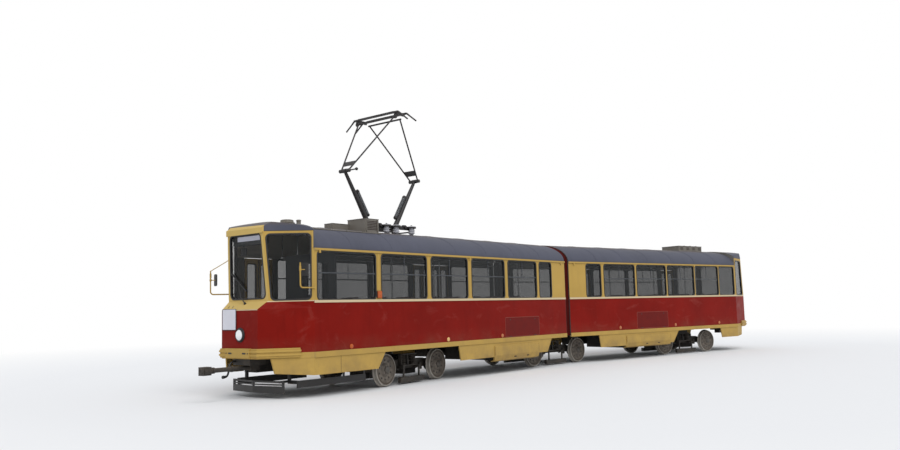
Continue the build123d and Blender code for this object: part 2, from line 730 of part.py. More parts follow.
def lifeguard():
    """The pointed gate of slats ahead of the front bogie, its hangers and the side planks."""
    plan = [
        (GATE_TIP, 0), (GATE_END, GATE_HALF), (GATE_END + GATE_T, GATE_HALF), (GATE_TIP + GATE_T, 0),
        (GATE_END + GATE_T, -GATE_HALF), (GATE_END, -GATE_HALF),
    ]
    low, high = RAIL + GATE_BARS[0][0], RAIL + GATE_BARS[-1][1]
    gate = box(GATE_TIP + 8, GATE_TIP + GATE_T, -20, 20, low, high)
    for z0, z1 in GATE_BARS:
        gate += plan_prism(plan, RAIL + z0, RAIL + z1)
    gate += mirrored(GATE_END, GATE_END + GATE_T, GATE_HALF - STAY_T, GATE_HALF, low, high)
    gate += mirrored(GATE_END, HANGER_X, *ARM_Y, *GATE_ARM_Z)
    gate += mirrored(HANGER_X - HANGER_T, HANGER_X, *ARM_Y, GATE_ARM_Z[0], BAND_LOW + 40)
    gate += mirrored(HANGER_X - HANGER_T, HANGER_X, ARM_Y[0], PLANK_Y, PLANK_Z[1] - 60, PLANK_Z[1])
    gate += mirrored(HANGER_X - HANGER_T, PLANK_END, PLANK_Y - GUARD_T, PLANK_Y, *PLANK_Z)
    top = FLOOR_Z - FLOOR_T - 0.2
    for x in (PLANK_END - HANGER_T, PLANK_HANGER):
        gate += mirrored(x, x + STAY_T, PLANK_Y - GUARD_T, PLANK_Y, PLANK_Z[1], BAND_LOW)
        gate += box(x, x + STAY_T, -PLANK_Y, PLANK_Y, BAND_LOW - STAY_T, BAND_LOW)
        gate += mirrored(x, x + STAY_T, *STAY_Y, BAND_LOW - STAY_T, top)
    x = HANGER_X - HANGER_T
    gate += box(x, x + STAY_T, -ARM_Y[1], ARM_Y[1], BAND_LOW - 10, BAND_LOW + 40)
    return gate + mirrored(x, x + STAY_T, *ARM_Y, BAND_LOW + 40, top)


def wheel_profile(side):
    """Half section of tyre, web and hub as a closed outline in Y and radius."""
    inner = BACK_TO_BACK / 2
    outer = inner + TYRE_W
    web = inner + TYRE_W / 2
    rim = WHEEL_R - TYRE_T
    tip = WHEEL_R + FLANGE_DEPTH
    pts = [
        (inner, rim), (inner, tip - 4), (inner + 5, tip), (inner + FLANGE_W - FLANGE_TAPER, tip),
        (inner + FLANGE_W, WHEEL_R + 2), (outer - 6, WHEEL_R), (outer, WHEEL_R - 6), (outer, rim),
        (web + WEB_T / 2, rim - 22), (web + WEB_T / 2, HUB_R + 40), (outer + HUB_OUT, HUB_R),
        (outer + HUB_OUT, 0), (inner - 20, 0), (inner - 20, HUB_R), (web - WEB_T / 2, HUB_R + 40),
        (web - WEB_T / 2, rim - 22),
    ]
    return [(side * y, r) for y, r in pts]


def wheelset():
    """Two flanged wheels on one axle, in one piece."""
    axle = bar_y(0, 0, -BACK_TO_BACK / 2, BACK_TO_BACK / 2, AXLE_R)
    for side in (-1, 1):
        face = Face(Wire.make_polygon([Vector(0, y, r) for y, r in wheel_profile(side)], close=True))
        axle += revolve(face, axis=Axis.Y)
    return axle


def bogie_frame(centre):
    """Inboard side frames, transoms, bolster, bearings, springs and track brakes."""
    top = AXLE_Z + FRAME_H / 2 + 60
    dropped = top - 90 - FRAME_DROP
    frame = None
    half = WHEELBASE / 2
    for side in (-1, 1):
        y0, y1 = sorted((side * (FRAME_Y - FRAME_W / 2), side * (FRAME_Y + FRAME_W / 2)))
        pts = [
            (-half - 200, top), (-half - 200, top - 90), (-half + 220, top - 90), (-half + 330, dropped),
            (half - 330, dropped), (half - 220, top - 90), (half + 200, top - 90), (half + 200, top),
            (half - 180, top), (half - 290, top + 30), (-half + 290, top + 30), (-half + 180, top),
        ]
        beam = side_prism(pts, y0, y1)
        for x in (-half, half):
            beam += disc(x, side * FRAME_Y, AXLE_Z, top - 60, SPRING_R - 30)
            beam += bar_y(x, AXLE_Z, y0 + 5, y1 - 5, AXLE_BOX_R)
            beam -= bar_y(x, AXLE_Z, y0 - 50, y1 + 50, AXLE_R + RUN_GAP)
        frame = beam if frame is None else frame + beam
    for x in (-TRANSOM_X, TRANSOM_X):
        frame += bar_y(x, top - 60, -FRAME_Y, FRAME_Y, TRANSOM_R)
    for x in (-half - 160, half + 160):
        frame += box(x - 30, x + 30, -FRAME_Y, FRAME_Y, top - 85, top - 15)
    frame += box(-TRANSOM_X - 40, TRANSOM_X + 40, -BOLSTER_W / 2, BOLSTER_W / 2, top - 110, top + 40)
    pin_top = FLOOR_Z - 30 if centre else BOLSTER_Z + 110
    frame += disc(0, 0, top, pin_top, PIVOT_R)
    if not centre:
        frame += disc(0, 0, top, BOLSTER_Z + 40 - SEAT_GAP, PIVOT_R + 60)
    if centre:
        frame += disc(0, 0, FLOOR_Z - 30, FLOOR_Z, DISC_R)
        frame += disc(0, 0, top, FRONT_ARM_Z - 8, PIVOT_R + 60)
    brake_y = BACK_TO_BACK / 2 + TYRE_W / 2
    for side in (-1, 1):
        y0, y1 = sorted((side * (brake_y - BRAKE_W / 2), side * (brake_y + BRAKE_W / 2)))
        low = RAIL + BRAKE_LIFT
        frame += box(-BRAKE_LEN / 2, BRAKE_LEN / 2, y0, y1, low, low + BRAKE_H)
        for x in (-280, 280):
            c0, c1 = sorted((side * FRAME_Y, side * brake_y))
            frame += box(x - 25, x + 25, c0, c1, dropped + 10, dropped + 60)
            frame += disc(x, side * brake_y, low + BRAKE_H - 5, dropped + 60, 22)
    return frame


def motors():
    """The two traction motors as plain blocks between the transoms and the axles."""
    start = TRANSOM_X + TRANSOM_R + SEAT_GAP
    top = MOTOR_LOW + MOTOR_H
    ends = [sorted((sign * start, sign * (start + MOTOR_LEN))) for sign in (-1, 1)]
    return [box(x0, x1, -MOTOR_W / 2, MOTOR_W / 2, MOTOR_LOW, top) for x0, x1 in ends]


def seat_places(front):
    """Where the seats stand, all facing ahead, clear of the doorways."""
    if front:
        left = (-8300, -7500, -6700, -5900, -5100, -4300, -3500, -2700)
        right = (-7450, -6650, -5850, -5050, -4350)
    else:
        left = (1300, 2100, 2900, 3700, 4500, 5300, 6100, 6900)
        right = (1250, 4350, 5150, 5950, 6650)
    return [(x, -SEAT_Y) for x in left] + [(x, SEAT_Y) for x in right]


def seat(x, y):
    """A pan and a back on a pedestal."""
    z = FLOOR_Z
    half = SEAT_W / 2
    shape = box(-40, 200, -60, 60, z, z + SEAT_Z)
    shape += box(-60, SEAT_D - 60, -half, half, z + SEAT_Z, z + SEAT_Z + SEAT_T)
    low, high = z + SEAT_Z, z + SEAT_Z + SEAT_BACK
    outline = [(SEAT_D - 100, low), (SEAT_D - 50, low), (SEAT_D + 20, high), (SEAT_D - 30, high)]
    return Pos(x, y, 0) * (shape + side_prism(outline, -half, half))


def seats(front):
    return [seat(x, y) for x, y in seat_places(front)]


def ceiling_at(y):
    return GUTTER_TOP + (ROOF_RISE - ROOF_T) * sqrt(1 - (y / (HALF_W - ROOF_T)) ** 2)


def handrails(front):
    """Poles from floor to ceiling beside the doors and down the aisle."""
    rails = []
    for a, b in section_doors(front):
        y = HALF_W - TREAD_MID_IN - 60
        for x in (a - 60, b + 60):
            rails.append(disc(x, y, FLOOR_Z, ceiling_at(y) - SEAT_GAP - 4, POLE_R))
    xs = (-6300, -4700, -1500) if front else (1500, 4700, 6300)
    for x in xs:
        rails.append(disc(x, -560, FLOOR_Z, ceiling_at(560) - SEAT_GAP - 4, POLE_R))
    return rails


def cab_fittings():
    """The driver's desk, seat and the partition behind them."""
    front = -CAB_NOSE + 310
    back = -CAB_BACK - 20
    outline = [
        (front, FLOOR_Z), (front, SILL_Z - 60), (front + 260, SILL_Z - 110), (back, SILL_Z - 260),
        (back, SILL_Z - 300), (front + 210, SILL_Z - 300), (front + 140, FLOOR_Z),
    ]
    desk = side_prism(outline, -DESK_HALF, DESK_HALF)
    x, y, z = -CAB_BACK + 330, -350, FLOOR_Z + CHAIR_Z
    chair = disc(x, y, FLOOR_Z, z, 60) + box(x - 230, x + 190, y - 220, y + 220, z, z + 70)
    outline = [(x + 130, z + 70), (x + 190, z + 70), (x + 220, z + 560), (x + 170, z + 560)]
    chair += side_prism(outline, y - 200, y + 200)
    return desk, chair


DESK_HALF = 560
CHAIR_Z = 430
PARTITION_X = -CAB_BACK + 570
PARTITION_T = 35


def partition():
    left = -HALF_W + WALL_T + SEAT_GAP
    wall = box(PARTITION_X, PARTITION_X + PARTITION_T, left, 300, FLOOR_Z, GUTTER_LOW - 10)
    wall -= box(PARTITION_X - 50, PARTITION_X + 100, -950, -350, SILL_Z, RAIL + 2500)
    return wall


HEADLAMP_R = 95
HEADLAMP_Y = -30
MIRROR_X = -CAB_BACK + 28
MIRROR_R = 13
MIRROR_BEND = 60
NEAR_MIRROR = (410, 60, RAIL + 1998, RAIL + 2450)
FAR_MIRROR = (467, 205, RAIL + 1952, RAIL + 2430)
HEADLAMP_RING = 122
HEADLAMP_Z = RAIL + 1160


def front_lamps():
    lamp = bar_x(HEADLAMP_Y, HEADLAMP_Z, -CAB_NOSE - 30, -CAB_NOSE - 0.3, HEADLAMP_RING)
    lamp += bar_x(HEADLAMP_Y, HEADLAMP_Z, -CAB_NOSE - 48, -CAB_NOSE - 30, HEADLAMP_R)
    return lamp


def rear_lamps():
    pieces = []
    for side in (-1, 1):
        for z in (RAIL + 1060, RAIL + 1240):
            pieces.append(bar_x(side * 620, z, TAIL_NOSE + 0.3, TAIL_NOSE + 28, 62))
    return pieces


def mirror(side):
    """A bent tube on the pillar behind the cab's side window."""
    ahead, out, z, top = NEAR_MIRROR if side < 0 else FAR_MIRROR
    x, y = MIRROR_X, HALF_W + SEAT_GAP
    start, corner = (x, side * y, z), (x - ahead, side * (y + out), z)
    end = (x - ahead, side * (y + out), top)
    path = FilletPolyline(start, corner, end, radius=MIRROR_BEND)
    first = Vector(*corner) - Vector(*start)
    tube = sweep(Plane(origin=start, z_dir=first) * Circle(MIRROR_R), path=path)
    tube += disc(x - ahead, side * (y + out), top - 150, top - 60, MIRROR_R + 6)
    cut = box(x - 100, x + 100, *sorted((0, side * y)), 0, 2 * SILL_Z)
    return (tube - cut) + box(x - 22, x + 22, *sorted((side * y, side * (y + 8))), z - 35, z + 35)


CASE_LEN = 405
CASE_W = 520
CASE_TOP = RAIL + 3470
DUCT_LEN = 455
DUCT_W = 250
DUCT_TOP = RAIL + 3380


def roof_boxes():
    """The resistor case, the long low box ahead of it and two small vents."""
    low = roof_z(CASE_W + 100) - 20
    x = PANTO_X - 750
    case = box(x - CASE_LEN, x, -CASE_W - 100, -100, low, CASE_TOP) - roof_solid()
    x = x - CASE_LEN - 5
    duct = box(x - DUCT_LEN, x, -DUCT_W / 2, DUCT_W / 2, low, DUCT_TOP) - roof_solid()
    vent = disc(-CAB_BACK + 360, 0, low, roof_z(0) + 110, 130) - roof_solid()
    whistle = disc(-CAB_BACK + 660, 0, low, roof_z(0) + 120, 45) - roof_solid()
    return [case, duct, vent, whistle]


def roof_z(y):
    return GUTTER_TOP + ROOF_RISE * sqrt(1 - (y / HALF_W) ** 2)


def roof_solid():
    return arch(-CAB_BACK, CAB_BACK, ROOF_RISE + SEAT_GAP, HALF_W + SEAT_GAP, GUTTER_TOP)


REAR_CASE_X = (6390, 7640)
REAR_CASE_HALF = 330
REAR_CASE_TOP = RAIL + 3400


def rear_roof_case():
    """The long low case on the rear section's roof."""
    return box(*REAR_CASE_X, -REAR_CASE_HALF, REAR_CASE_HALF, roof_z(0) - 80, REAR_CASE_TOP) - roof_solid()


def pantograph_base():
    """A frame on insulators with the two lower shafts' bearings."""
    top = PANTO_BASE_Z + 25
    low = top - BASE_RAIL_H
    x0, x1 = PANTO_X + BASE_FRAME[0], PANTO_X + BASE_FRAME[1]
    frame = None
    for side in (-1, 1):
        y0, y1 = sorted((side * BASE_RAIL_IN, side * BASE_RAIL_OUT))
        rail = box(x0, x1, y0, y1, low, top)
        frame = rail if frame is None else frame + rail
        for x in (PANTO_X - BASE_HALF, PANTO_X + BASE_HALF):
            frame += box(x - 45, x + 45, y0, y1, low, PANTO_BASE_Z + 52)
        for x in INSULATOR_X:
            y = side * INSULATOR_Y
            frame += disc(PANTO_X + x, y, roof_z(INSULATOR_Y) - 60, top + 12, INSULATOR_R)
            frame += disc(PANTO_X + x, y, top - 45, top - 10, INSULATOR_CAP_R)
    for x in (x0, x1 - 60):
        frame += box(x, x + 60, -BASE_RAIL_OUT, BASE_RAIL_OUT, low - 42, low - 17)
        for side in (-1, 1):
            y0, y1 = sorted((side * BASE_RAIL_IN, side * BASE_RAIL_OUT))
            frame += box(x, x + 60, y0, y1, low - 42, low + 5)
    for x in (PANTO_X - BASE_HALF, PANTO_X + BASE_HALF):
        frame -= bar_y(x, PANTO_BASE_Z, -BASE_REACH - 10, BASE_REACH + 10, SHAFT_R + RUN_GAP)
    return frame - roof_solid()


KNEE_X = BASE_HALF + LOWER_LEN * cos(radians(LOWER_RISE))
KNEE_Z = PANTO_BASE_Z + LOWER_LEN * sin(radians(LOWER_RISE))
UPPER_RUN = KNEE_X - APEX_HALF
APEX_Z = KNEE_Z + sqrt(UPPER_LEN ** 2 - UPPER_RUN ** 2)
HUB_Y = UPPER_TOP_Y + TOP_STAGGER + 20


def lower_arm(sign):
    """A stout tapered tube from the base shaft to the knee, with its spring case."""
    base = (PANTO_X + sign * BASE_HALF, 0, PANTO_BASE_Z)
    knee = (PANTO_X + sign * KNEE_X, 0, KNEE_Z)
    arm = bar_y(base[0], base[2], -BASE_REACH, BASE_REACH, SHAFT_R)
    along = Vector(knee[0] - base[0], 0, knee[2] - base[2]).normalized()
    place = Plane(origin=Vector(*base), z_dir=along).location
    arm += place * Cone(LOWER_R + 18, LOWER_R - 6, LOWER_LEN, align=(Align.CENTER, Align.CENTER, Align.MIN))
    side = Vector(-sign * along.Z, 0, sign * along.X) * 95
    a = Vector(*base) + along * 210 + side
    b = Vector(*base) + along * 860 + side
    arm += rod(tuple(a), tuple(b), 36)
    for t in (240, 820):
        p = Vector(*base) + along * t
        arm += rod(tuple(p), tuple(p + side), 22)
    arm -= bar_y(knee[0], knee[2], -KNEE_HALF - 40, KNEE_HALF + 40, KNEE_R + 30)
    fork = bar_y(knee[0], knee[2], -55, 55, KNEE_R) - bar_y(knee[0], knee[2], -60, 60, 22 + RUN_GAP)
    p = Vector(*knee) - along * (KNEE_R + 60)
    q = Vector(*knee) - along * (KNEE_R - 12)
    neck = rod(tuple(p), tuple(q), LOWER_R - 8)
    return arm + (fork + neck)


GUSSET = (0.095, 0.18)
GUSSET_T = 8
KNOB_R = 34
KNOB_Y = -361


def upper_arm(sign, top_half):
    """Two tubes that spread from the knee to the top shaft, with a plate between them by the knee."""
    knee = (PANTO_X + sign * KNEE_X, KNEE_Z)
    apex = (PANTO_X + sign * APEX_HALF, APEX_Z)
    arm = bar_y(knee[0], knee[1], -KNEE_HALF, KNEE_HALF, 22)
    for side in (-1, 1):
        y0, y1 = sorted((side * 62, side * KNEE_HALF))
        arm += bar_y(knee[0], knee[1], y0, y1, KNEE_R - 5)
        arm += rod((knee[0], side * (KNEE_HALF - 40), knee[1]), (apex[0], side * top_half, apex[1]), UPPER_R)
    arm += bar_y(apex[0], apex[1], -top_half - 30, top_half + 30, 20)
    low, high = Vector(knee[0], 0, knee[1]), Vector(apex[0], 0, apex[1])
    corners = []
    for t, side in ((GUSSET[0], -1), (GUSSET[0], 1), (GUSSET[1], 1), (GUSSET[1], -1)):
        half = (KNEE_HALF - 40) * (1 - t) + top_half * t
        corners.append(low + (high - low) * t + Vector(0, side * half, 0))
    arm += extrude(Face(Wire.make_polygon(corners, close=True)), amount=GUSSET_T / 2, both=True)
    if sign < 0:
        arm += bar_y(knee[0], knee[1], KNOB_Y, -KNEE_HALF + 5, 14)
        arm += Pos(knee[0], KNOB_Y, knee[1]) * Sphere(KNOB_R)
    return arm


def pan_head():
    """Two collector pans with horns on carriers that hang on the front top shaft."""
    pieces = []
    pan_z = APEX_Z + PAN_RISE
    for x in (PANTO_X - APEX_HALF, PANTO_X + APEX_HALF):
        strip = box(x - PAN_W / 2, x + PAN_W / 2, -PAN_HALF, PAN_HALF, pan_z - PAN_T, pan_z)
        for side in (-1, 1):
            start = (x, side * (PAN_HALF - 5), pan_z - PAN_T / 2)
            strip += rod(start, (x, side * (PAN_HALF + HORN_OUT), pan_z - HORN_DROP), HORN_R)
        pieces.append(strip)
    head = pieces[0] + pieces[1]
    front_x = PANTO_X - APEX_HALF
    shaft_end = UPPER_TOP_Y + TOP_STAGGER + 30
    for side in (-1, 1):
        y0, y1 = sorted((side * HUB_Y, side * (HUB_Y + HUB_W)))
        head += box(front_x - 20, front_x + 2 * APEX_HALF + 20, y0, y1, APEX_Z + 45, pan_z - 5)
        head += bar_y(front_x, APEX_Z, y0, y1, 42)
        head += box(front_x - 28, front_x + 28, y0, y1, APEX_Z, APEX_Z + 60)
    head -= bar_y(front_x, APEX_Z, -shaft_end - 1, shaft_end + 1, 20 + RUN_GAP)
    return head


def bellows():
    """The folding cover between the sections, a hoop that follows the roof and walls."""
    half, low, rise, t = HALF_W - 15, BAND_LOW + 40, ROOF_RISE - 9, 70
    outer = box(0, 600, -half, half, low, GUTTER_TOP) + arch(0, 600, rise, half, GUTTER_TOP)
    inner = box(-1, 601, -half + t, half - t, low - 1, GUTTER_TOP + 1)
    inner += arch(-1, 601, rise, half, GUTTER_TOP, t)
    hoop = outer - inner
    big = 3000
    split = Rot(0, 0, -BEND / 2)
    before = split * box(-big, 0, -big, big, -big, 2 * big)
    after = split * box(0, big, -big, big, -big, 2 * big)
    front_half = (Pos(-SECTION_END + SEAT_GAP, 0, 0) * hoop) & before
    rear_half = (Rot(0, 0, -BEND) * Pos(SECTION_END - SEAT_GAP - 600, 0, 0) * hoop) & after
    return front_half + rear_half


def leaf(x0, pin_x):
    """One door leaf with its tall pane and its top pin, closed, in its section's straight frame."""
    y0 = HALF_W - DOOR_IN - LEAF_T
    y1 = HALF_W - DOOR_IN
    panel = box(x0, x0 + LEAF_W, y0, y1, DOOR_LOW, DOOR_TOP)
    cut = (x0 + 60, x0 + LEAF_W - 60, FLOOR_Z + 300, DOOR_TOP - 110)
    mid = (y0 + y1) / 2
    panel -= rounded_hole(*cut, 45, mid, 3 * LEAF_T)
    panel += disc(pin_x, mid, DOOR_TOP - 5, GUTTER_LOW - SEAT_GAP, DOOR_PIN_R)
    g = SEAT_GAP
    pane = rounded_hole(cut[0] + g, cut[1] - g, cut[2] + g, cut[3] - g, 45 - g, mid, PANE_T)
    return [panel, pane]


def door_leaves(start, leaves):
    """Low X edge of each leaf of a doorway."""
    return [start + POST_GAP + i * (LEAF_W + LEAF_GAP) for i in range(leaves)]


def pin_places(start, leaves):
    """Where each leaf's top pin stands: at the post, or near the free edge that the rail guides."""
    edges = door_leaves(start, leaves)
    near = [edges[0] + HINGE_IN, edges[1] + LEAF_W - HINGE_IN]
    return near if leaves == 2 else near + [edges[2] + HINGE_IN, edges[3] + LEAF_W - HINGE_IN]


def door_axes(start, leaves):
    """Hinge lines of each leaf pair: post side, between the leaves, and the turning sense."""
    edges = door_leaves(start, leaves)
    y_post = HALF_W - DOOR_IN - LEAF_T / 2
    y_fold = HALF_W - DOOR_IN + HINGE_OUT
    rows = [(edges[0] + HINGE_IN, y_post, edges[1] - LEAF_GAP / 2, y_fold, -1)]
    if leaves == 4:
        rows.append((edges[3] + LEAF_W - HINGE_IN, y_post, edges[3] - LEAF_GAP / 2, y_fold, 1))
    return rows


def save(name, pieces, place=None):
    pieces = pieces if isinstance(pieces, (list, tuple)) else [pieces]
    solids = [solid for piece in pieces for solid in piece.solids()]
    if place is not None:
        solids = [place * solid for solid in solids]
    shape = Compound(children=solids) if len(solids) > 1 else solids[0]
    export_step(shape, f"parts/{name}.step")


def main():
    os.makedirs("parts", exist_ok=True)
    straight = Rot(0, 0, 0)
    bent = Rot(0, 0, -BEND)
    for front, prefix, place in ((True, "front", straight), (False, "rear", bent)):
        save(prefix + "_underframe", underframe(front), place)
        save(prefix + "_wall_left", left_wall(front), place)
        save(prefix + "_wall_right", right_wall(front), place)
        save(prefix + "_roof", saloon_roof(front), place)
        save(prefix + "_skirts", skirts(front), place)
        save(prefix + "_bumper", bumper(front), place)
        save(prefix + "_coupler", coupler(front), place)
        save(prefix + "_seats", seats(front), place)
        save(prefix + "_handrails", handrails(front), place)
    cab_end = (
        -1, CAB_BACK, CAB_SCREEN_TOP, CAB_SCREEN_TOP_HALF,
        CAB_WALL_TOP, CAB_CROWN, CAB_CAP_FRONT, CAB_CAP_RUN,
    )
    tail_end = (
        1, TAIL_BACK, TAIL_TOP, TAIL_TOP_HALF, TAIL_WALL_TOP, TAIL_CROWN, TAIL_CAP_FRONT, TAIL_CAP_RUN,
    )
    save("cab_shell", end_shell(cab_levels, cab_windows, cab_end) + fascia())
    save("tail_shell", end_shell(tail_levels, tail_windows, tail_end), bent)
    save("front_glass", side_panes(True) + end_glass(cab_levels, cab_windows, CAB_WALL_TOP))
    save("rear_glass", side_panes(False) + end_glass(tail_levels, tail_windows, TAIL_WALL_TOP), bent)
    save("lifeguard", lifeguard())
    save("cab_desk", list(cab_fittings()) + [partition()])
    save("front_lamps", front_lamps())
    save("rear_lamps", rear_lamps(), bent)
    save("mirror_brackets", [mirror(-1), mirror(1)])
    save("roof_boxes", roof_boxes())
    save("rear_roof_case", rear_roof_case(), bent)
    save("pantograph_base", pantograph_base())
    save("pantograph_lower_front", lower_arm(-1))
    save("pantograph_lower_rear", lower_arm(1))
    save("pantograph_upper_front", upper_arm(-1, UPPER_TOP_Y + TOP_STAGGER))
    save("pantograph_upper_rear", upper_arm(1, UPPER_TOP_Y - TOP_STAGGER))
    save("pantograph_head", pan_head())
    save("bellows", bellows())
    bogies = (
        ("front", Pos(-BOGIE_PITCH, 0, 0) * Rot(0, 0, BOGIE_YAW), True),
        ("centre", Rot(0, 0, -BEND / 2), False),
        ("rear", bent * Pos(BOGIE_PITCH, 0, 0) * Rot(0, 0, -BOGIE_YAW), True),
    )
    for name, place, powered in bogies:
        save(name + "_bogie_frame", bogie_frame(name == "centre"), place)
        if powered:
            save(name + "_bogie_motors", motors(), place)
        for end, x in (("lead", -WHEELBASE / 2), ("trail", WHEELBASE / 2)):
            save(name + "_wheelset_" + end, wheelset(), place * Pos(x, 0, AXLE_Z))
    for name, start, leaves in DOORS:
        place = straight if start < 0 else bent
        rows = zip(door_leaves(start, leaves), pin_places(start, leaves))
        for i, (x, pin_x) in enumerate(rows):
            save(f"{name}_door_leaf_{i + 1}", leaf(x, pin_x), place)


if __name__ == "__main__":
    main()
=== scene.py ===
import json
from collections import defaultdict
from functools import reduce
from math import atan2, cos, pi, radians, sin, sqrt

import bmesh
import bpy
from mathutils import Matrix, Vector


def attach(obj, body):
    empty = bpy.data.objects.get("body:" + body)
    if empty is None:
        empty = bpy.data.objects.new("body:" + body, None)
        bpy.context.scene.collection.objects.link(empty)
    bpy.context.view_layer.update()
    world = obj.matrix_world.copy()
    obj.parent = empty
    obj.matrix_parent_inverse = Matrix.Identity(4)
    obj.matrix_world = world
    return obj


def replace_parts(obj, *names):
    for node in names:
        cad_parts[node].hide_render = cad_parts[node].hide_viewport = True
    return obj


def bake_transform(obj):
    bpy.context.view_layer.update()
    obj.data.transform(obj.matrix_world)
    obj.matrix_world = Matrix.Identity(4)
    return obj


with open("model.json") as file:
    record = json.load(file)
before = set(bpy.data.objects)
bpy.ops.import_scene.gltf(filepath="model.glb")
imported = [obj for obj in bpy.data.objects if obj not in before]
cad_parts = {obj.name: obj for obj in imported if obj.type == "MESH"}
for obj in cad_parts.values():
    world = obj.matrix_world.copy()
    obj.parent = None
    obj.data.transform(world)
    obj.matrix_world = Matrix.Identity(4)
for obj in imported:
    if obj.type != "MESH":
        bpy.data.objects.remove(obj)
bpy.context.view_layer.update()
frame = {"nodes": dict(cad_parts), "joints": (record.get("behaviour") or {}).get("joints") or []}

# Metres, but millimetres in the profiles of swept and turned forms. +X runs towards the tail along the
# front section, +Y is the door side, +Z is up. Rear pieces are made along a straight tram and then
# turned by the bend about the pivot.

X, Y, Z = (row.copy() for row in Matrix.Identity(3))
SIDES = {"left": -1, "right": 1}
FRONT, REAR = "front_section", "rear_section"
PREFIX = {FRONT: "front", REAR: "rear"}
JOINTS = {joint["name"]: joint for joint in frame["joints"]}
SPINS = [joint for joint in JOINTS.values() if joint["name"].endswith("_spin")]
REAR_BOGIE = JOINTS["rear_bogie_yaw"]["pos_m"]
BEND = atan2(REAR_BOGIE[1], REAR_BOGIE[0])
TURN = {FRONT: Matrix.Identity(4), REAR: Matrix.Rotation(BEND, 4, "Z")}

# Trim stands this far off the face it lies on, so that no two faces share a plane
HAIR = 0.0003

# Heights and widths of the body
RAIL = 0.022
HALF_W = 1.2
BAND_LOW = RAIL + 0.72
BAND_TOP = RAIL + 0.824
FLOOR_Z = RAIL + 0.9
SILL_Z = RAIL + 1.722
SILL_TOP = SILL_Z + 0.048
WINDOW_LOW = RAIL + 1.775
WINDOW_TOP = RAIL + 2.68
WINDOW_R = 0.075
TRANSOM_Z = RAIL + 2.28
GUTTER_LOW = RAIL + 2.7
GUTTER_TOP = RAIL + 2.74
ROOF_RISE = 0.52
ROOF_T = 0.04
SKIRT_FACE = HALF_W - 0.006
POD_FACE = HALF_W + 0.016
SECTION_END = 0.225

# Plan of the cab and the tail
CAB_BACK = 9.08
CAB_NOSE, CAB_NOSE_HALF = 9.86, 0.54
CAB_LOW = CAB_LOW_X, CAB_LOW_HALF = 9.66, 0.6
CAB_TOP = CAB_TOP_X, CAB_TOP_HALF = 9.74, 0.53
LEDGE_LOW = RAIL + 1.63
CAB_SILL_Z = RAIL + 1.78
CAB_GLASS_TOP = RAIL + 3.035
CAB_WALL_TOP = RAIL + 3.065
FASCIA_TOP = RAIL + 3.16
TAIL_BACK = 8.14
TAIL_LOW = TAIL_NOSE, TAIL_NOSE_HALF = 9.15, 0.85
TAIL_TOP = TAIL_TOP_X, TAIL_TOP_HALF = 9.12, 0.83
TAIL_GLASS_TOP = RAIL + 2.932
TAIL_WALL_TOP = RAIL + 2.988
SCREEN_MARGIN = 0.07

LEFT_WINDOWS = {
    FRONT: ((-9.0, -7.45), (-7.29, -5.89), (-5.74, -4.46), (-4.3, -3.01), (-2.86, -1.6), (-1.47, -0.89)),
    REAR: ((0.91, 1.52), (1.65, 2.99), (3.09, 4.46), (4.53, 5.88), (5.94, 7.18), (7.23, 8.08)),
}

# Doorways: name, start along the section and number of leaves
LEAF_W = 0.345
LEAF_GAP = 0.006
POST_GAP = 0.012
DOORWAYS = {FRONT: (("front", -8.88, 2), ("middle", -3.7, 4)),
            REAR: (("trailing", 2.3, 4), ("rear", 7.33, 2))}
DOORWAY_W = {count: 2 * POST_GAP + count * LEAF_W + (count - 1) * LEAF_GAP for count in (2, 4)}
DOOR_FACE = HALF_W - 0.005
DOOR_T = 0.035
DOOR_LOW = RAIL + 0.43
DOOR_TOP = GUTTER_LOW - 0.015

# Radii of the wheels where the groove's dirt, the rim's painted highlight and the bright tread come in
WHEEL_GROOVE, WHEEL_RIM_HIGHLIGHT, WHEEL_TREAD = (0.262, 0.268), (0.292, 0.312), (0.318, 0.327)

# What shows along the sides: the flap (x0, x1, z0, z1), reflectors (x, lens) and their height, skirt
# seams, the pod under the skirt (x0, x1, its foot above the rail) and the drain spouts
FLAPS = {FRONT: (-3.02, -1.55, 0.865, 1.32), REAR: (3.03, 4.46, 0.875, 1.33)}
REFLECTORS = {FRONT: ((-8.15, "amber"), (-5.21, "pale_lens"), (-3.17, "peach")),
              REAR: ((2.26, "peach"), (4.82, "peach"), (7.11, "peach"))}
REFLECTOR_Z = {FRONT: 0.9, REAR: 0.918}
SKIRT_SEAMS = {FRONT: (-8.42,), REAR: ()}
PODS = {FRONT: (-3.5, -1.6, 0.27), REAR: (2.5, 4.55, 0.31)}
SPOUTS = {FRONT: (-8.95, -4.38, -0.42), REAR: (0.42, 5.905)}

# Pantograph: half its base and half its apex along the car, and the lengths of its arms
PANTO_X, PANTO_Z = -6.0, RAIL + 3.4
PANTO_RISE = radians(58)
BASE_HALF, APEX_HALF, LOWER_ARM, UPPER_ARM = 0.4, 0.14, 1.37, 1.6
KNEE_X, KNEE_Z = BASE_HALF + LOWER_ARM * cos(PANTO_RISE), PANTO_Z + LOWER_ARM * sin(PANTO_RISE)
PAN_Z = KNEE_Z + sqrt(UPPER_ARM ** 2 - (KNEE_X - APEX_HALF) ** 2) + 0.12

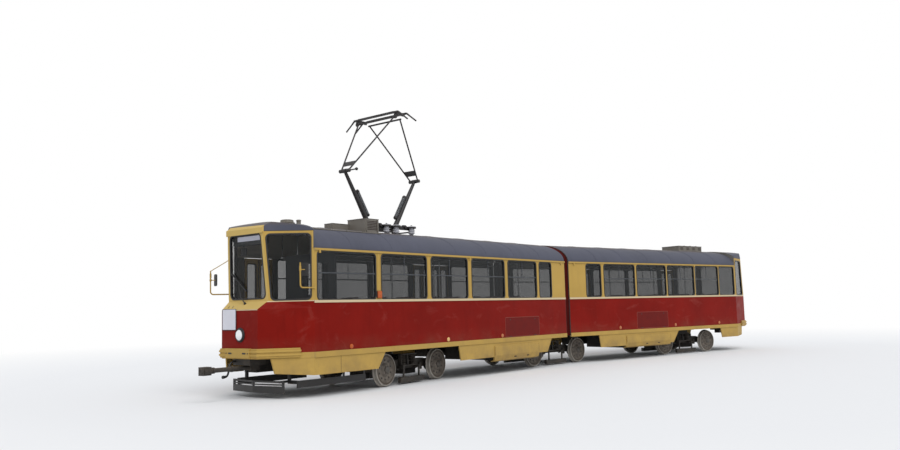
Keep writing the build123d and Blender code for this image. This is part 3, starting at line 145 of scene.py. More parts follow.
# Colours as they show in the photograph, linear
RED = (0.188, 0.0068, 0.0036)
RED_FADED = (0.128, 0.0125, 0.0105)
RED_SCUFFED = (0.36, 0.11, 0.09)
CREAM = (0.43, 0.28, 0.075)
# The nose's cream is the side's paint in a lighter, lit copy: painted light on faces that look up and forward
CREAM_NOSE_LIT = (0.53, 0.375, 0.125)
CREAM_PALE = (0.56, 0.45, 0.29)
CREAM_RUSTY = (0.27, 0.17, 0.07)
ROOF_GREY = (0.079, 0.082, 0.108)
# Painted reflection: the brownish tint of the roof's crown where it catches the sky
ROOF_CROWN_SHEEN = (0.125, 0.1, 0.082)
ROOF_JOINT = (0.035, 0.03, 0.032)
BELLOWS_RED = (0.066, 0.0032, 0.0018)
CAB_LINING = (0.07, 0.047, 0.034)
BLACK = (0.012, 0.0115, 0.012)
# Near-black glass tint, darker than the glass itself as painted shade for the dim inside
GLASS_TINT_AND_SHADE = (0.01, 0.012, 0.013)
UNDER = (0.022, 0.019, 0.016)
DUST = (0.11, 0.085, 0.062)
PANEL_GREY = (0.165, 0.155, 0.14)
CEILING = (0.33, 0.3, 0.24)
WHITE = (1.0, 1.0, 1.0)


def shade(colour, factor):
    return tuple(value * factor for value in colour)


class Wiring:
    """The nodes of a material or of the world, made and joined by short calls."""

    def __init__(self, owner):
        owner.use_nodes = True
        self.owner, self.tree = owner, owner.node_tree

    def node(self, kind, inputs=None, **settings):
        """A shader node with its properties set and its inputs filled."""
        made = self.tree.nodes.new("ShaderNode" + kind)
        for key, value in settings.items():
            setattr(made, key, value)
        self.fill(made, inputs or {})
        return made

    def fill(self, node, inputs):
        """Links or values for a node's inputs, by their names or numbers."""
        for key, value in inputs.items():
            socket = node.inputs[key]
            if isinstance(value, bpy.types.NodeSocket):
                self.tree.links.new(value, socket)
            else:
                socket.default_value = (*value[:3], 1.0) if socket.type == "RGBA" else value

    def math(self, operation, a, b=0.0):
        return self.node("Math", {0: a, 1: b}, operation=operation).outputs[0]

    def size(self, value):
        """How far a value is from zero."""
        return self.math("ABSOLUTE", value)

    def both(self, *masks):
        """The product: one where every mask is one."""
        return reduce(lambda a, b: self.math("MULTIPLY", a, b), masks)

    def either(self, a, b):
        """The larger: one where either mask is one."""
        return self.math("MAXIMUM", a, b)

    def seen(self):
        """One for the camera's own rays and for those that it sees in a gloss or through glass."""
        camera, glossy, through = (self.node("LightPath").outputs[f"Is {kind} Ray"]
                                   for kind in ("Camera", "Glossy", "Transmission"))
        return self.either(self.either(camera, glossy), through)

    def blend(self, factor, a, b, end):
        """Two shaders mixed on their way into the tree's end."""
        made = self.node("MixShader", {0: factor, 1: a.outputs[0], 2: b.outputs[0]})
        self.fill(self.tree.nodes[end], {"Surface": made.outputs[0]})


class Surface(Wiring):
    """A material's nodes, with its place and normal along a straight tram."""

    def __init__(self, name, turn=0.0):
        super().__init__(bpy.data.materials.new(name))
        self.shader = self.tree.nodes["Principled BSDF"]
        coordinates = self.node("TexCoord")
        self.place = self.turned(coordinates.outputs["Object"], turn, "POINT")
        self.normal = self.turned(coordinates.outputs["Normal"], turn, "VECTOR")
        self.x, self.y, self.z = self.node("SeparateXYZ", {0: self.place}).outputs
        self.nx, self.ny, self.nz = self.node("SeparateXYZ", {0: self.normal}).outputs

    def turned(self, vector, angle, kind):
        """The vector turned back by an angle about Z, so that it lies along a straight tram."""
        if not angle:
            return vector
        rotation = (0.0, 0.0, -angle)
        return self.node("Mapping", {"Vector": vector, "Rotation": rotation}, vector_type=kind).outputs[0]

    def stretched(self, *scale):
        return self.node("Mapping", {"Vector": self.place, "Scale": scale}).outputs[0]

    def noise(self, scale, detail=4.0, rough=0.55, vector=None, distortion=0.0):
        return self.node("TexNoise", {"Vector": vector or self.place, "Scale": scale, "Detail": detail,
                                      "Roughness": rough, "Distortion": distortion}).outputs["Fac"]

    def ramp(self, value, low, high, start=0.0, end=1.0):
        """Goes from start to end as value goes from low to high."""
        return self.node("MapRange", {"Value": value, "From Min": low, "From Max": high, "To Min": start,
                                      "To Max": end}).outputs["Result"]

    def above(self, value, level, edge=0.001):
        return self.ramp(value, level - edge, level + edge)

    def within(self, value, low, high):
        """One between low and high, nothing outside them."""
        return self.math("MINIMUM", self.above(value, low), self.above(value, high, -0.001))

    def vectors(self, operation, a, b=(0.0, 0.0, 0.0)):
        made = self.node("VectorMath", {0: a, 1: b}, operation=operation)
        return made.outputs["Value" if operation in ("LENGTH", "DOT_PRODUCT") else "Vector"]

    def inward(self, centre, scale):
        """One on faces that look towards the centre, with each axis weighted by scale."""
        away = self.vectors("MULTIPLY", self.vectors("SUBTRACT", self.place, centre), scale)
        return self.ramp(self.vectors("DOT_PRODUCT", away, self.normal), 0.002, -0.002)

    def mix(self, factor, a, b):
        return self.node("Mix", {0: factor, 6: a, 7: b}, data_type="RGBA").outputs[2]

    def drift(self, value, low, high, colour, darker, lighter):
        """A colour between two shades of itself, as value goes from low to high."""
        return self.mix(self.ramp(value, low, high), shade(colour, darker), shade(colour, lighter))

    def stain(self, under, value, low, high, amount, over):
        """Up to amount of one colour over another, as value goes from low to high."""
        return self.mix(self.ramp(value, low, high, 0.0, amount), under, over)

    def bump(self, height, strength, distance):
        made = self.node("Bump", {"Height": height, "Strength": strength, "Distance": distance})
        self.fill(self.shader, {"Normal": made.outputs[0]})

    def grained(self, wave, grain, share, strength, distance):
        """Bump of a broad wave with a share of a fine grain."""
        self.bump(self.math("ADD", self.both(grain, share), wave), strength, distance)

    def finish(self, colour, rough, metallic=0.0, coat=0.0, specular=0.5):
        self.fill(self.shader, {"Base Color": colour, "Roughness": rough, "Metallic": metallic,
                                "Coat Weight": coat, "Coat Roughness": 0.2, "Specular IOR Level": specular})
        return self.owner


def body_colour(w, cream_above):
    """Red below the sill, cream above it and on the band, with scuffs, streaks and road dirt."""
    broad = w.noise(0.9, 5.0)
    scuff = w.noise(1.7, 7.0, 0.62, w.stretched(1.0, 1.0, 1.7), 0.8)
    streak = w.noise(3.0, 5.0, 0.6, w.stretched(3.5, 3.5, 0.35))
    red = w.drift(broad, 0.35, 0.7, RED, 0.86, 1.12)
    red = w.stain(red, scuff, 0.56, 0.74, 0.2, RED_SCUFFED)
    red = w.stain(red, streak, 0.52, 0.8, 0.35, shade(RED, 0.6))
    cream = w.drift(broad, 0.3, 0.7, CREAM, 0.92, 1.08)
    cream = w.stain(cream, streak, 0.55, 0.85, 0.3, CREAM_RUSTY)
    strip = w.math("MINIMUM", w.above(w.z, SILL_Z), w.ramp(w.z, SILL_TOP + 0.002, SILL_TOP))
    cream = w.mix(strip, cream, CREAM_PALE)
    band = w.ramp(w.z, BAND_TOP + 0.001, BAND_TOP - 0.003)
    colour = w.mix(w.either(w.above(w.z, cream_above, 0.002), band), red, cream)
    dirt = w.both(w.ramp(w.z, 1.15, 0.35, 0.0, 0.55), w.ramp(w.noise(2.6, 6.0, 0.65), 0.35, 0.75))
    colour = w.mix(dirt, colour, (0.16, 0.115, 0.075))
    w.grained(broad, w.noise(14.0, 3.0), 0.3, 0.12, 0.01)
    return colour, w.ramp(scuff, 0.3, 0.8, 0.4, 0.62)


def paint(name, turn=0.0, centre=(0.0, 0.0, 2.0), scale=(0.0, 1.0, 0.0), cream_above=SILL_Z, dress=None,
          lining=PANEL_GREY):
    """Body paint outside and a laminate lining on the faces that look inwards."""
    w = Surface(name, turn)
    colour, rough = body_colour(w, cream_above)
    if dress:
        colour = dress(w, colour)
    laminate = w.drift(w.noise(1.3), 0.3, 0.7, lining, 0.85, 1.1)
    return w.finish(w.mix(w.inward(centre, scale), colour, laminate), rough, specular=0.06)


def crown_sheen(w, grey, low, high):
    """A painted sheen along the crown of a roof, a brownish tint standing for the sky's reflection there,
    which comes in between two heights.
    """
    crown = w.both(w.ramp(w.z, low, high), w.ramp(w.noise(3.0, 6.0), 0.35, 0.65, 0.3, 1.0))
    return w.mix(crown, grey, ROOF_CROWN_SHEEN)


def end_roof(w, colour, wall_top, back, kept=0.0):
    """The grey cap of a tapered end, except where kept is one, with a dark line where it starts.

    The faces at back, which close the end against the saloon's roof, are grey above the gutter."""
    out = -1 if back < 0 else 1
    # The crown's brownish tint is a painted reflection
    grey = crown_sheen(w, w.drift(w.noise(0.9, 6.0, 0.6), 0.3, 0.72, ROOF_GREY, 0.86, 1.12), 3.18, 3.27)
    against = w.either(w.ramp(w.size(w.nx), 0.985, 0.99), w.ramp(w.x, back + out * 0.012, back + out * 0.01))
    closed = w.both(w.ramp(w.z, GUTTER_TOP, GUTTER_TOP + 0.002), against)
    rest = w.math("SUBTRACT", 1.0, kept)
    colour = w.mix(w.both(w.either(w.above(w.z, wall_top), closed), rest), colour, grey)
    return w.mix(w.both(w.within(w.z, wall_top - 0.003, wall_top + 0.006), rest), colour, ROOF_JOINT)


def cab_dress(w, colour):
    """Cream on the nose: the ledge, the posts and the strip above the windscreen, in a lighter copy of the
    side's cream that is painted light for their upward and forward faces. A grey cap.
    """
    ledge = w.both(w.ramp(w.nz, 0.4, 0.44), w.within(w.z, LEDGE_LOW, CAB_SILL_Z + 0.001),
                   w.ramp(w.size(w.ny), 0.32, 0.28))
    post = w.both(w.ramp(w.nx, -0.8, -0.84), w.within(w.z, CAB_SILL_Z - 0.001, CAB_WALL_TOP))
    top = w.math("ADD", FASCIA_TOP + 0.04, w.ramp(w.y, -0.5, 0.5, -0.016, 0.01))
    strip = w.both(w.ramp(w.x, 0.2 - CAB_TOP_X, 0.19 - CAB_TOP_X),
                   w.ramp(w.size(w.y), CAB_TOP_HALF + 0.018, CAB_TOP_HALF + 0.016),
                   w.ramp(w.math("SUBTRACT", w.z, top), 0.001, -0.001),
                   w.ramp(w.z, CAB_WALL_TOP - 0.004, CAB_WALL_TOP - 0.003))
    # Painted highlight: the nose's upward and forward faces get a lighter copy of the cream
    cream = w.drift(w.noise(1.1, 5.0), 0.3, 0.7, CREAM_NOSE_LIT, 0.95, 1.05)
    capped = end_roof(w, colour, CAB_WALL_TOP, -CAB_BACK, strip)
    return w.mix(w.either(ledge, w.either(post, strip)), capped, cream)


def tail_dress(w, colour):
    return end_roof(w, colour, TAIL_WALL_TOP, TAIL_BACK)


def cream_paint(name, base):
    """Cream paint alone, with brown road dirt low down."""
    w = Surface(name)
    broad = w.noise(1.1, 5.0)
    streak = w.noise(3.0, 5.0, 0.6, w.stretched(4.0, 4.0, 0.5))
    colour = w.stain(w.drift(broad, 0.3, 0.72, base, 0.93, 1.07), streak, 0.55, 0.85, 0.35, CREAM_RUSTY)
    dirt = w.both(w.ramp(w.z, 0.85, 0.25, 0.0, 0.75), w.ramp(w.noise(3.0, 6.0, 0.65), 0.35, 0.7))
    colour = w.mix(dirt, colour, (0.15, 0.105, 0.065))
    w.grained(broad, w.noise(18.0), 0.3, 0.1, 0.01)
    return w.finish(colour, w.ramp(broad, 0.3, 0.8, 0.4, 0.6), specular=0.1)


def roof_paint(name, turn=0.0):
    """Grey roof with a cream gutter below and a pale ceiling inside."""
    w = Surface(name, turn)
    broad = w.noise(0.7, 6.0, 0.6)
    run = w.noise(2.0, 5.0, 0.6, w.stretched(2.4, 0.35, 0.35))
    grey = w.drift(broad, 0.3, 0.72, ROOF_GREY, 0.86, 1.12)
    # The crown's brownish tint is a painted reflection; the darker runs are dirt
    grey = crown_sheen(w, w.stain(grey, run, 0.5, 0.8, 0.35, shade(ROOF_GREY, 0.62)), 3.15, 3.26)
    colour = w.mix(w.above(w.z, GUTTER_TOP), w.stain(CREAM, run, 0.5, 0.85, 0.4, CREAM_RUSTY), grey)
    w.grained(run, w.noise(22.0), 0.4, 0.15, 0.008)
    inner = w.inward((0.0, 0.0, 2.2), (0.0, 1.0, 1.0))
    return w.finish(w.mix(inner, colour, CEILING), w.ramp(broad, 0.3, 0.8, 0.55, 0.75), specular=0.12)


def dusty(name, base, dust=DUST, amount=0.5, rough=0.7, metallic=0.0):
    """A dark part with dust and rust settled on it."""
    w = Surface(name)
    patch = w.noise(4.0, 7.0, 0.65)
    colour = w.stain(base, patch, 0.42, 0.72, amount, dust)
    colour = w.stain(colour, w.nz, 0.3, 1.0, amount * 0.7, shade(dust, 1.2))
    w.bump(w.noise(30.0, 5.0), 0.25, 0.004)
    return w.finish(colour, w.ramp(patch, 0.3, 0.8, rough - 0.12, rough + 0.12), metallic)


def plain(name, base, rough, metallic=0.0, vary=0.1, grain=60.0, bump=0.08, coat=0.0, specular=0.5, glow=0.0):
    """A quiet surface: its colour and gloss drift a little, over a fine grain."""
    w = Surface(name)
    wave = w.noise(5.0, 5.0)
    w.bump(w.noise(grain, 3.0), bump, 0.002)
    w.fill(w.shader, {"Emission Color": base, "Emission Strength": glow})
    gloss = w.ramp(wave, 0.3, 0.7, max(rough - 0.06, 0.02), rough + 0.06)
    return w.finish(w.drift(wave, 0.3, 0.7, base, 1.0 - vary, 1.0 + vary), gloss, metallic, coat, specular)


def floor_steel(name):
    """Dusty underframe steel with lino on the floor."""
    w = Surface(name)
    patch = w.noise(4.0, 7.0, 0.65)
    steel = w.stain(UNDER, patch, 0.42, 0.72, 0.45, DUST)
    lino = w.mix(patch, (0.03, 0.027, 0.024), (0.05, 0.044, 0.038))
    top = w.both(w.ramp(w.z, FLOOR_Z - 0.004, FLOOR_Z - 0.002), w.ramp(w.nz, 0.5, 0.7))
    w.bump(w.noise(30.0, 5.0), 0.2, 0.004)
    return w.finish(w.mix(top, steel, lino), 0.7)


def glazing(name, saloon, cab):
    """Thin glass, tinted near black, that keeps its gloss; saloon and cab say how much of what is behind each
    it hides, which is partly the tint and partly painted shade for the dim inside.
    """
    w = Surface(name)
    # The part of the view that the glass hides is painted shade for the dim inside
    w.fill(w.shader, {"Alpha": w.ramp(w.x, -CAB_BACK - 0.03, -CAB_BACK + 0.03, cab, saloon)})
    return w.finish(GLASS_TINT_AND_SHADE, w.ramp(w.noise(1.6, 5.0, 0.6), 0.4, 0.8, 0.05, 0.12), specular=0.3)


def door_paint(name, turn=0.0):
    """Red and cream leaves whose panes, at mid thickness, are dark glass that hides half of what is behind
    it, partly tint and partly painted shade.
    """
    w = Surface(name, turn)
    colour, _ = body_colour(w, SILL_Z)
    off = w.size(w.math("SUBTRACT", w.size(w.y), DOOR_FACE - DOOR_T / 2))
    pane = w.both(w.ramp(off, 0.0062, 0.0058), w.ramp(w.size(w.ny), 0.45, 0.55))
    # Painted shade: the pane hides half of the inside behind near-black glass
    w.fill(w.shader, {"Alpha": w.ramp(pane, 0.0, 1.0, 1.0, 0.5)})
    return w.finish(w.mix(pane, colour, GLASS_TINT_AND_SHADE), w.ramp(pane, 0.0, 1.0, 0.45, 0.08), specular=0.25)


def wheel_metal(name, joint):
    """Dusty wheel discs with a bright tread and a lighter rim that is a painted highlight, by the distance
    from the axle.
    """
    w = Surface(name)
    arm = w.vectors("SUBTRACT", w.place, joint["pos_m"])
    radius = w.vectors("LENGTH", w.vectors("CROSS_PRODUCT", arm, Vector(joint["axis"]).normalized()))
    patch = w.noise(9.0, 7.0, 0.65)
    disc = w.mix(w.ramp(patch, 0.35, 0.7), (0.085, 0.072, 0.06), (0.19, 0.16, 0.13))
    # Painted highlight: a lighter band round the tyre's edge
    rim = w.mix(w.ramp(patch, 0.3, 0.7), (0.24, 0.215, 0.185), (0.36, 0.33, 0.29))
    colour = w.mix(w.ramp(radius, *WHEEL_GROOVE), disc, shade(DUST, 0.6))
    colour = w.mix(w.ramp(radius, *WHEEL_RIM_HIGHLIGHT), colour, rim)
    w.bump(w.noise(40.0, 5.0), 0.3, 0.003)
    return w.finish(colour, w.ramp(radius, *WHEEL_TREAD, 0.75, 0.38))


MATERIALS = {
    "front_wall": paint("front_wall_paint"),
    "rear_wall": paint("rear_wall_paint", BEND),
    "cab": paint("cab_paint", 0.0, (-9.05, 0.0, 2.0), (1.0, 1.0, 0.25), CAB_SILL_Z - 0.026, cab_dress,
                 CAB_LINING),
    "tail": paint("tail_paint", BEND, (8.1, 0.0, 2.0), (1.0, 1.0, 0.25), SILL_Z, tail_dress),
    "front_roof": roof_paint("front_roof_paint"),
    "rear_roof": roof_paint("rear_roof_paint", BEND),
    "cream": cream_paint("cream_paint", CREAM),
    "pale": cream_paint("pale_strip", CREAM_PALE),
    "black": dusty("black_steel", BLACK, amount=0.12, rough=0.5),
    "under": dusty("under_steel", UNDER, amount=0.45),
    "seal": plain("black_rubber", (0.01, 0.01, 0.011), 0.55, vary=0.15),
    "alloy": plain("dull_alloy", (0.2, 0.21, 0.22), 0.42, 0.6),
    "chrome": plain("bright_rail", (0.55, 0.56, 0.57), 0.2, 1.0, 0.04, bump=0.02),
    "glass": glazing("dark_glazing", 0.47, 0.26),
    "seat": plain("seat_shell", (0.115, 0.03, 0.02), 0.42, vary=0.12),
    "cab_grey": plain("cab_grey", (0.045, 0.048, 0.052), 0.5, vary=0.15),
    "bellows": plain("bellows_cloth", BELLOWS_RED, 0.62, vary=0.18, grain=90.0, bump=0.2, specular=0.12),
    "white": plain("blank_white", (0.6, 0.6, 0.66), 0.38, vary=0.03),
    "lit_panel": plain("lit_panel", (0.62, 0.63, 0.74), 0.5, vary=0.02, glow=0.55),
    "amber": plain("amber_lens", (0.42, 0.085, 0.014), 0.3, vary=0.06, specular=0.3),
    "peach": plain("peach_lens", (0.42, 0.15, 0.065), 0.4, vary=0.06, specular=0.2),
    "pale_lens": plain("pale_lens", (0.64, 0.4, 0.16), 0.4, vary=0.06, specular=0.2),
    "red_lens": plain("red_lens", (0.45, 0.01, 0.008), 0.2, vary=0.06, coat=0.5),
    "mirror": plain("lamp_bowl", (0.8, 0.82, 0.84), 0.09, 1.0, 0.02, bump=0.02),
    "porcelain": plain("insulator_glaze", (0.42, 0.42, 0.45), 0.28, coat=0.3),
    "carbon": plain("carbon_strip", (0.03, 0.03, 0.033), 0.6, vary=0.2),
    "faded": plain("faded_red", RED_FADED, 0.55, vary=0.12, specular=0.06),
    "flap_edge": plain("flap_edge", (0.21, 0.06, 0.048), 0.6, vary=0.15, specular=0.06),
    "floor_steel": floor_steel("floor_steel"),
    "front_door": door_paint("front_door_paint"),
    "rear_door": door_paint("rear_door_paint", BEND),
    "frame": plain("grey_window_bar", (0.06, 0.064, 0.07), 0.5, specular=0.2),
    "gap": plain("dark_joint", (0.03, 0.018, 0.014), 0.8, vary=0.2),
    "hub": dusty("dusty_steel", (0.085, 0.078, 0.07), amount=0.4, rough=0.5, metallic=0.5),
    "case": dusty("case_paint", (0.165, 0.15, 0.13), amount=0.35, rough=0.6),
    "panto": dusty("pantograph_steel", (0.013, 0.012, 0.013), (0.04, 0.028, 0.022), 0.3, 0.6),
}
MATERIALS.update({joint["name"]: wheel_metal(joint["child"] + "_metal", joint) for joint in SPINS})


def mm(profile):
    """A profile's rows in metres, from millimetres."""
    return [(a / 1000, b / 1000) for a, b in profile]


def turns(count, start=0.0):
    """The angles of count even steps round a circle."""
    return [2 * pi * (k + start) / count for k in range(count)]


def spokes(axis, count):
    """Unit vectors at even steps all round an axis."""
    side = axis.orthogonal().normalized()
    other = axis.cross(side)
    return [side * cos(a) + other * sin(a) for a in turns(count)]


class Form:
    """A mesh gathered from closed forms, in the straight frame of its section."""

    def __init__(self):
        self.mesh = bmesh.new()

    def skin(self, rows, closed=False):
        """Quads between rings of points; an open run of rings gets a cap at each end."""
        rings = [[self.mesh.verts.new(point) for point in row] for row in rows]
        spans = list(zip(rings, rings[1:])) + ([(rings[-1], rings[0])] if closed else [])
        for low, high in spans:
            for i in range(len(low)):
                j = (i + 1) % len(low)
                self.mesh.faces.new((low[i], low[j], high[j], high[i]))
        if not closed:
            self.mesh.faces.new(rings[0][::-1])
            self.mesh.faces.new(rings[-1])
        return self

    def box(self, a, b, bevel=0.003):
        """A box with rounded edges between two opposite corners, given in any order."""
        low, high = (Vector([pick(pair) for pair in zip(a, b)]) for pick in (min, max))
        place = Matrix.Translation((low + high) / 2) @ Matrix.Diagonal((*(high - low), 1))
        made = bmesh.ops.create_cube(self.mesh, matrix=place)["verts"]
        edges = list({edge for vert in made for edge in vert.link_edges})
        bmesh.ops.bevel(self.mesh, geom=edges, offset=bevel, segments=2, affect="EDGES")

    def tube(self, points, radius, sides=10):
        """A round tube through points; radius is one number or one for each point."""
        points = [Vector(point) for point in points]
        last = len(points) - 1
        radii = radius if isinstance(radius, (list, tuple)) else [radius] * len(points)
        side = None
        rows = []
        for i, point in enumerate(points):
            along = (points[min(i + 1, last)] - points[max(i - 1, 0)]).normalized()
            side = side or along.orthogonal().normalized()
            side = (side - along * side.dot(along)).normalized()
            other = along.cross(side)
            rows.append([point + (side * cos(a) + other * sin(a)) * radii[i] for a in turns(sides)])
        self.skin(rows)

    def lathe(self, origin, axis, profile, steps=32):
        """A solid turned about an axis from (distance along it, radius) rows."""
        origin, axis = Vector(origin), Vector(axis).normalized()
        self.skin([[origin + axis * along + spoke * max(radius, 1e-4) for spoke in spokes(axis, steps)]
                   for along, radius in mm(profile)])

    def ring(self, origin, axis, profile, steps=40):
        """A closed ring turned about an axis from a closed outline of (distance along it, radius)."""
        origin, axis = Vector(origin), Vector(axis).normalized()
        self.skin([[origin + axis * along + spoke * radius for along, radius in mm(profile)]
                   for spoke in spokes(axis, steps)], closed=True)

    def collar(self, origin, axis, inner, outer, height, steps=28):
        """A ring with a square section."""
        self.ring(origin, axis, ((0, inner), (0, outer), (height, outer), (height, inner)), steps)

    def studs(self, centre, out, circle, count, profile, start=0.0, first=Z):
        """Six-sided bolt heads on a circle round an axis, counted from the direction first."""
        other = out.cross(first)
        for a in turns(count, start):
            self.lathe(centre + (first * cos(a) + other * sin(a)) * circle, out, profile, 6)

    def helix(self, start, end, radius, wire, rounds, sides=7, steps=14):
        """A coil spring between two points."""
        start, end = Vector(start), Vector(end)
        around, count = spokes((end - start).normalized(), steps), rounds * steps
        path = [start.lerp(end, k / count) + around[k % steps] * radius for k in range(count + 1)]
        self.tube(path, wire, sides)

    def made(self, name, material, body, slot, turn=None, sharp=35):
        """The piece, turned from its straight frame into the shared one and riding on its body."""
        bmesh.ops.recalc_face_normals(self.mesh, faces=self.mesh.faces)
        data = bpy.data.meshes.new(name)
        self.mesh.to_mesh(data)
        self.mesh.free()
        data.transform(turn or TURN.get(body, Matrix.Identity(4)))
        data.materials.append(MATERIALS[material])
        data.polygons.foreach_set("use_smooth", [True] * len(data.polygons))
        data.set_sharp_from_angle(angle=radians(sharp))
        piece = bpy.data.objects.new(name, data)
        bpy.context.collection.objects.link(piece)
        if body:
            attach(piece, body)
        return piece or piece


def rounded_loop(corners, radius, steps=7):
    """Points round a convex outline with rounded corners, each with its outward direction."""
    corners = [Vector(corner) for corner in corners]
    loop = []
    for i, corner in enumerate(corners):
        before = (corners[i - 1] - corner).normalized()
        after = (corners[(i + 1) % len(corners)] - corner).normalized()
        half = before.angle(after) / 2
        centre = corner + (before + after).normalized() * (radius / sin(half))
        start = atan2(before.x, -before.y)
        for k in range(steps + 1):
            a = start + (pi - 2 * half) * k / steps
            away = Vector((cos(a), sin(a)))
            loop.append((centre + away * radius, away))
    return loop


class Plane:
    """A flat face of the body: where its outline's two axes run, and which way is out."""

    def __init__(self, origin, across, out, up=Z, swell=None):
        self.origin, self.across, self.up, self.out = (Vector(v) for v in (origin, across, up, out))
        self.swell = swell or (lambda u, v: 0.0)

    def at(self, u, v, w=0.0):
        return self.origin + self.across * u + self.up * v + self.out * (w + self.swell(u, v))

    def sweep(self, form, corners, radius, profile, steps=7):
        """A closed moulding round a rounded outline: profile rows are (away from it, out of the face)."""
        form.skin([[self.at(*(point + away * u), w) for u, w in mm(profile)]
                   for point, away in rounded_loop(corners, radius, steps)], closed=True)

    def plate(self, form, corners, radius, high, bevel=0.002, low=HAIR):
        """A flat plate from low to high with rounded corners and a softened outer edge."""
        form.skin([[self.at(*(point - away * inset), w) for point, away in rounded_loop(corners, radius, 5)]
                   for inset, w in ((0.0, low), (0.0, high - bevel), (bevel, high))])

    def disc(self, form, u, v, profile, steps=28):
        form.lathe(self.at(u, v), self.out, profile, steps)

    def block(self, form, u, v, w, bevel):
        """A box between two places along each of the plane's axes."""
        form.box(*(self.at(*corner) for corner in zip(u, v, w)), bevel)


def side_plane(side, y=HALF_W):
    return Plane((0.0, side * y, 0.0), X, Y * side)


def rectangle(x0, x1, z0, z1):
    return ((x0, z0), (x1, z0), (x1, z1), (x0, z1))


def right_stretches(section):
    """The stretches of the door side's wall between doorways, as in the CAD source."""
    cuts = [-CAB_BACK if section == FRONT else SECTION_END]
    for _, start, leaves in DOORWAYS[section]:
        cuts += [start, start + DOORWAY_W[leaves]]
    cuts.append(-SECTION_END if section == FRONT else TAIL_BACK)
    return list(zip(cuts[::2], cuts[1::2]))


def right_windows(section, pillar=0.13, longest=1.5, shortest=0.42):
    spans = []
    for a, b in right_stretches(section):
        room = b - a - pillar
        if room < shortest + pillar:
            continue
        count = max(1, round(room / (longest + pillar)))
        pitch = room / count
        spans += [(a + pillar + i * pitch, a + (i + 1) * pitch) for i in range(count)]
    return spans


# Window rubber: an outer lip with a skirt down to the pane, and the same inside
OUTER_SEAL = ((-14, -18), (-14, 3), (-9, 8), (10, 8), (16, 3), (16, 0.4), (-0.4, 0.4), (-0.4, -18))
INNER_SEAL = ((-12, -27), (-0.4, -27), (-0.4, -45.6), (15, -45.6), (15, -49), (10, -52), (-8, -52),
              (-12, -48))


def side_window_trim(section, barred=0.9, narrow=0.2, bar=0.013, post=0.011, cover=0.024):
    """Rubber round the side windows, bars across the long ones and covers on the narrow pillars.

    Windows from barred on have a bar, pillars below narrow a cover; bar, post and cover are half widths."""
    prefix = PREFIX[section]
    for side_name, side in SIDES.items():
        face = side_plane(side)
        rubber, bars, pillars = Form(), Form(), Form()
        spans = LEFT_WINDOWS[section] if side < 0 else right_windows(section)
        for a, b in spans:
            for profile in (OUTER_SEAL, INNER_SEAL):
                face.sweep(rubber, rectangle(a, b, WINDOW_LOW, WINDOW_TOP), WINDOW_R, profile)
            if b - a < barred:
                continue
            face.block(bars, (a + 0.004, b - 0.004), (TRANSOM_Z - bar, TRANSOM_Z + bar),
                       (-0.019, -0.006), 0.004)
            if (a, b) != LEFT_WINDOWS[FRONT][0]:
                middle = (a + b) / 2
                face.block(bars, (middle - post, middle + post), (TRANSOM_Z + 0.0125, WINDOW_TOP - 0.004),
                           (-0.019, -0.009), 0.003)
        for (_, a), (b, _) in zip(spans, spans[1:]):
            if b - a < narrow:
                middle = (a + b) / 2
                outline = rectangle(middle - cover, middle + cover, SILL_TOP - 0.004, GUTTER_LOW - 0.001)
                face.plate(pillars, outline, 0.006, 0.007, 0.005)
        rubber.made(f"{prefix}_window_rubber_{side_name}", "seal", section, "black_steel")
        bars.made(f"{prefix}_window_bars_{side_name}", "frame", section, "cab_grey")
        pillars.made(f"{prefix}_pillar_covers_{side_name}", "cream", section, "cream_paint")


def sloped_plane(side, sign, back, low, top, z_low, z_top):
    """The wall of a tapered end on one side, two facets that meet on a diagonal, as in the CAD source.

    low and top are (nose, half width) of the plan at z_low and z_top."""
    start = Vector((sign * back, side * HALF_W, 0.0))
    angle = atan2(HALF_W - low[1], low[0] - back)
    along = Vector((sign * cos(angle), -side * sin(angle), 0.0))
    out = Vector((sign * sin(angle), side * cos(angle), 0.0))
    tip = Vector((sign * top[0], side * top[1], 0.0)) - start
    reach, lift, height = tip.dot(along), tip.dot(out), z_top - z_low

    def swell(u, v):
        across, upward = u / reach, (v - z_low) / height
        return lift * (min(across, upward) if side < 0 else max(0.0, across + upward - 1.0))

    return Plane(start, along, out, swell=swell), cos(angle)


def leaning_plane(low, high, out_x):
    """The plane of an end window through two points (x, z), with U across the car and V up the slope."""
    (x0, z0), (x1, z1) = low, high
    up = Vector((x1 - x0, 0.0, z1 - z0)).normalized()
    out = Y.cross(up) if Y.cross(up).x * out_x > 0 else up.cross(Y)
    return Plane((x0, 0.0, z0), Y, out, up), up.z


def screen_corners(low, top, half_low, half_top, base, stretch):
    """The outline of an end window on its sloping plane."""
    z0, z1 = (low - base) / stretch, (top - base) / stretch
    half_low, half_top = half_low - SCREEN_MARGIN, half_top - SCREEN_MARGIN
    return ((-half_low, z0), (half_low, z0), (half_top, z1), (-half_top, z1))


LEDGE, LEDGE_UP = leaning_plane((-CAB_NOSE, LEDGE_LOW), (-CAB_LOW_X, CAB_SILL_Z), -1)
CAB_FACE, CAB_UP = leaning_plane((-CAB_LOW_X, CAB_SILL_Z), (-CAB_TOP_X, CAB_WALL_TOP), -1)
CAB_SCREEN = screen_corners(CAB_SILL_Z + 0.045, CAB_GLASS_TOP, CAB_LOW_HALF, CAB_TOP_HALF, CAB_SILL_Z, CAB_UP)
TAIL_FACE, TAIL_UP = leaning_plane((TAIL_NOSE, SILL_Z), (TAIL_TOP_X, TAIL_WALL_TOP), 1)
TAIL_SCREEN = screen_corners(WINDOW_LOW, TAIL_GLASS_TOP, TAIL_NOSE_HALF, TAIL_TOP_HALF, SILL_Z, TAIL_UP)


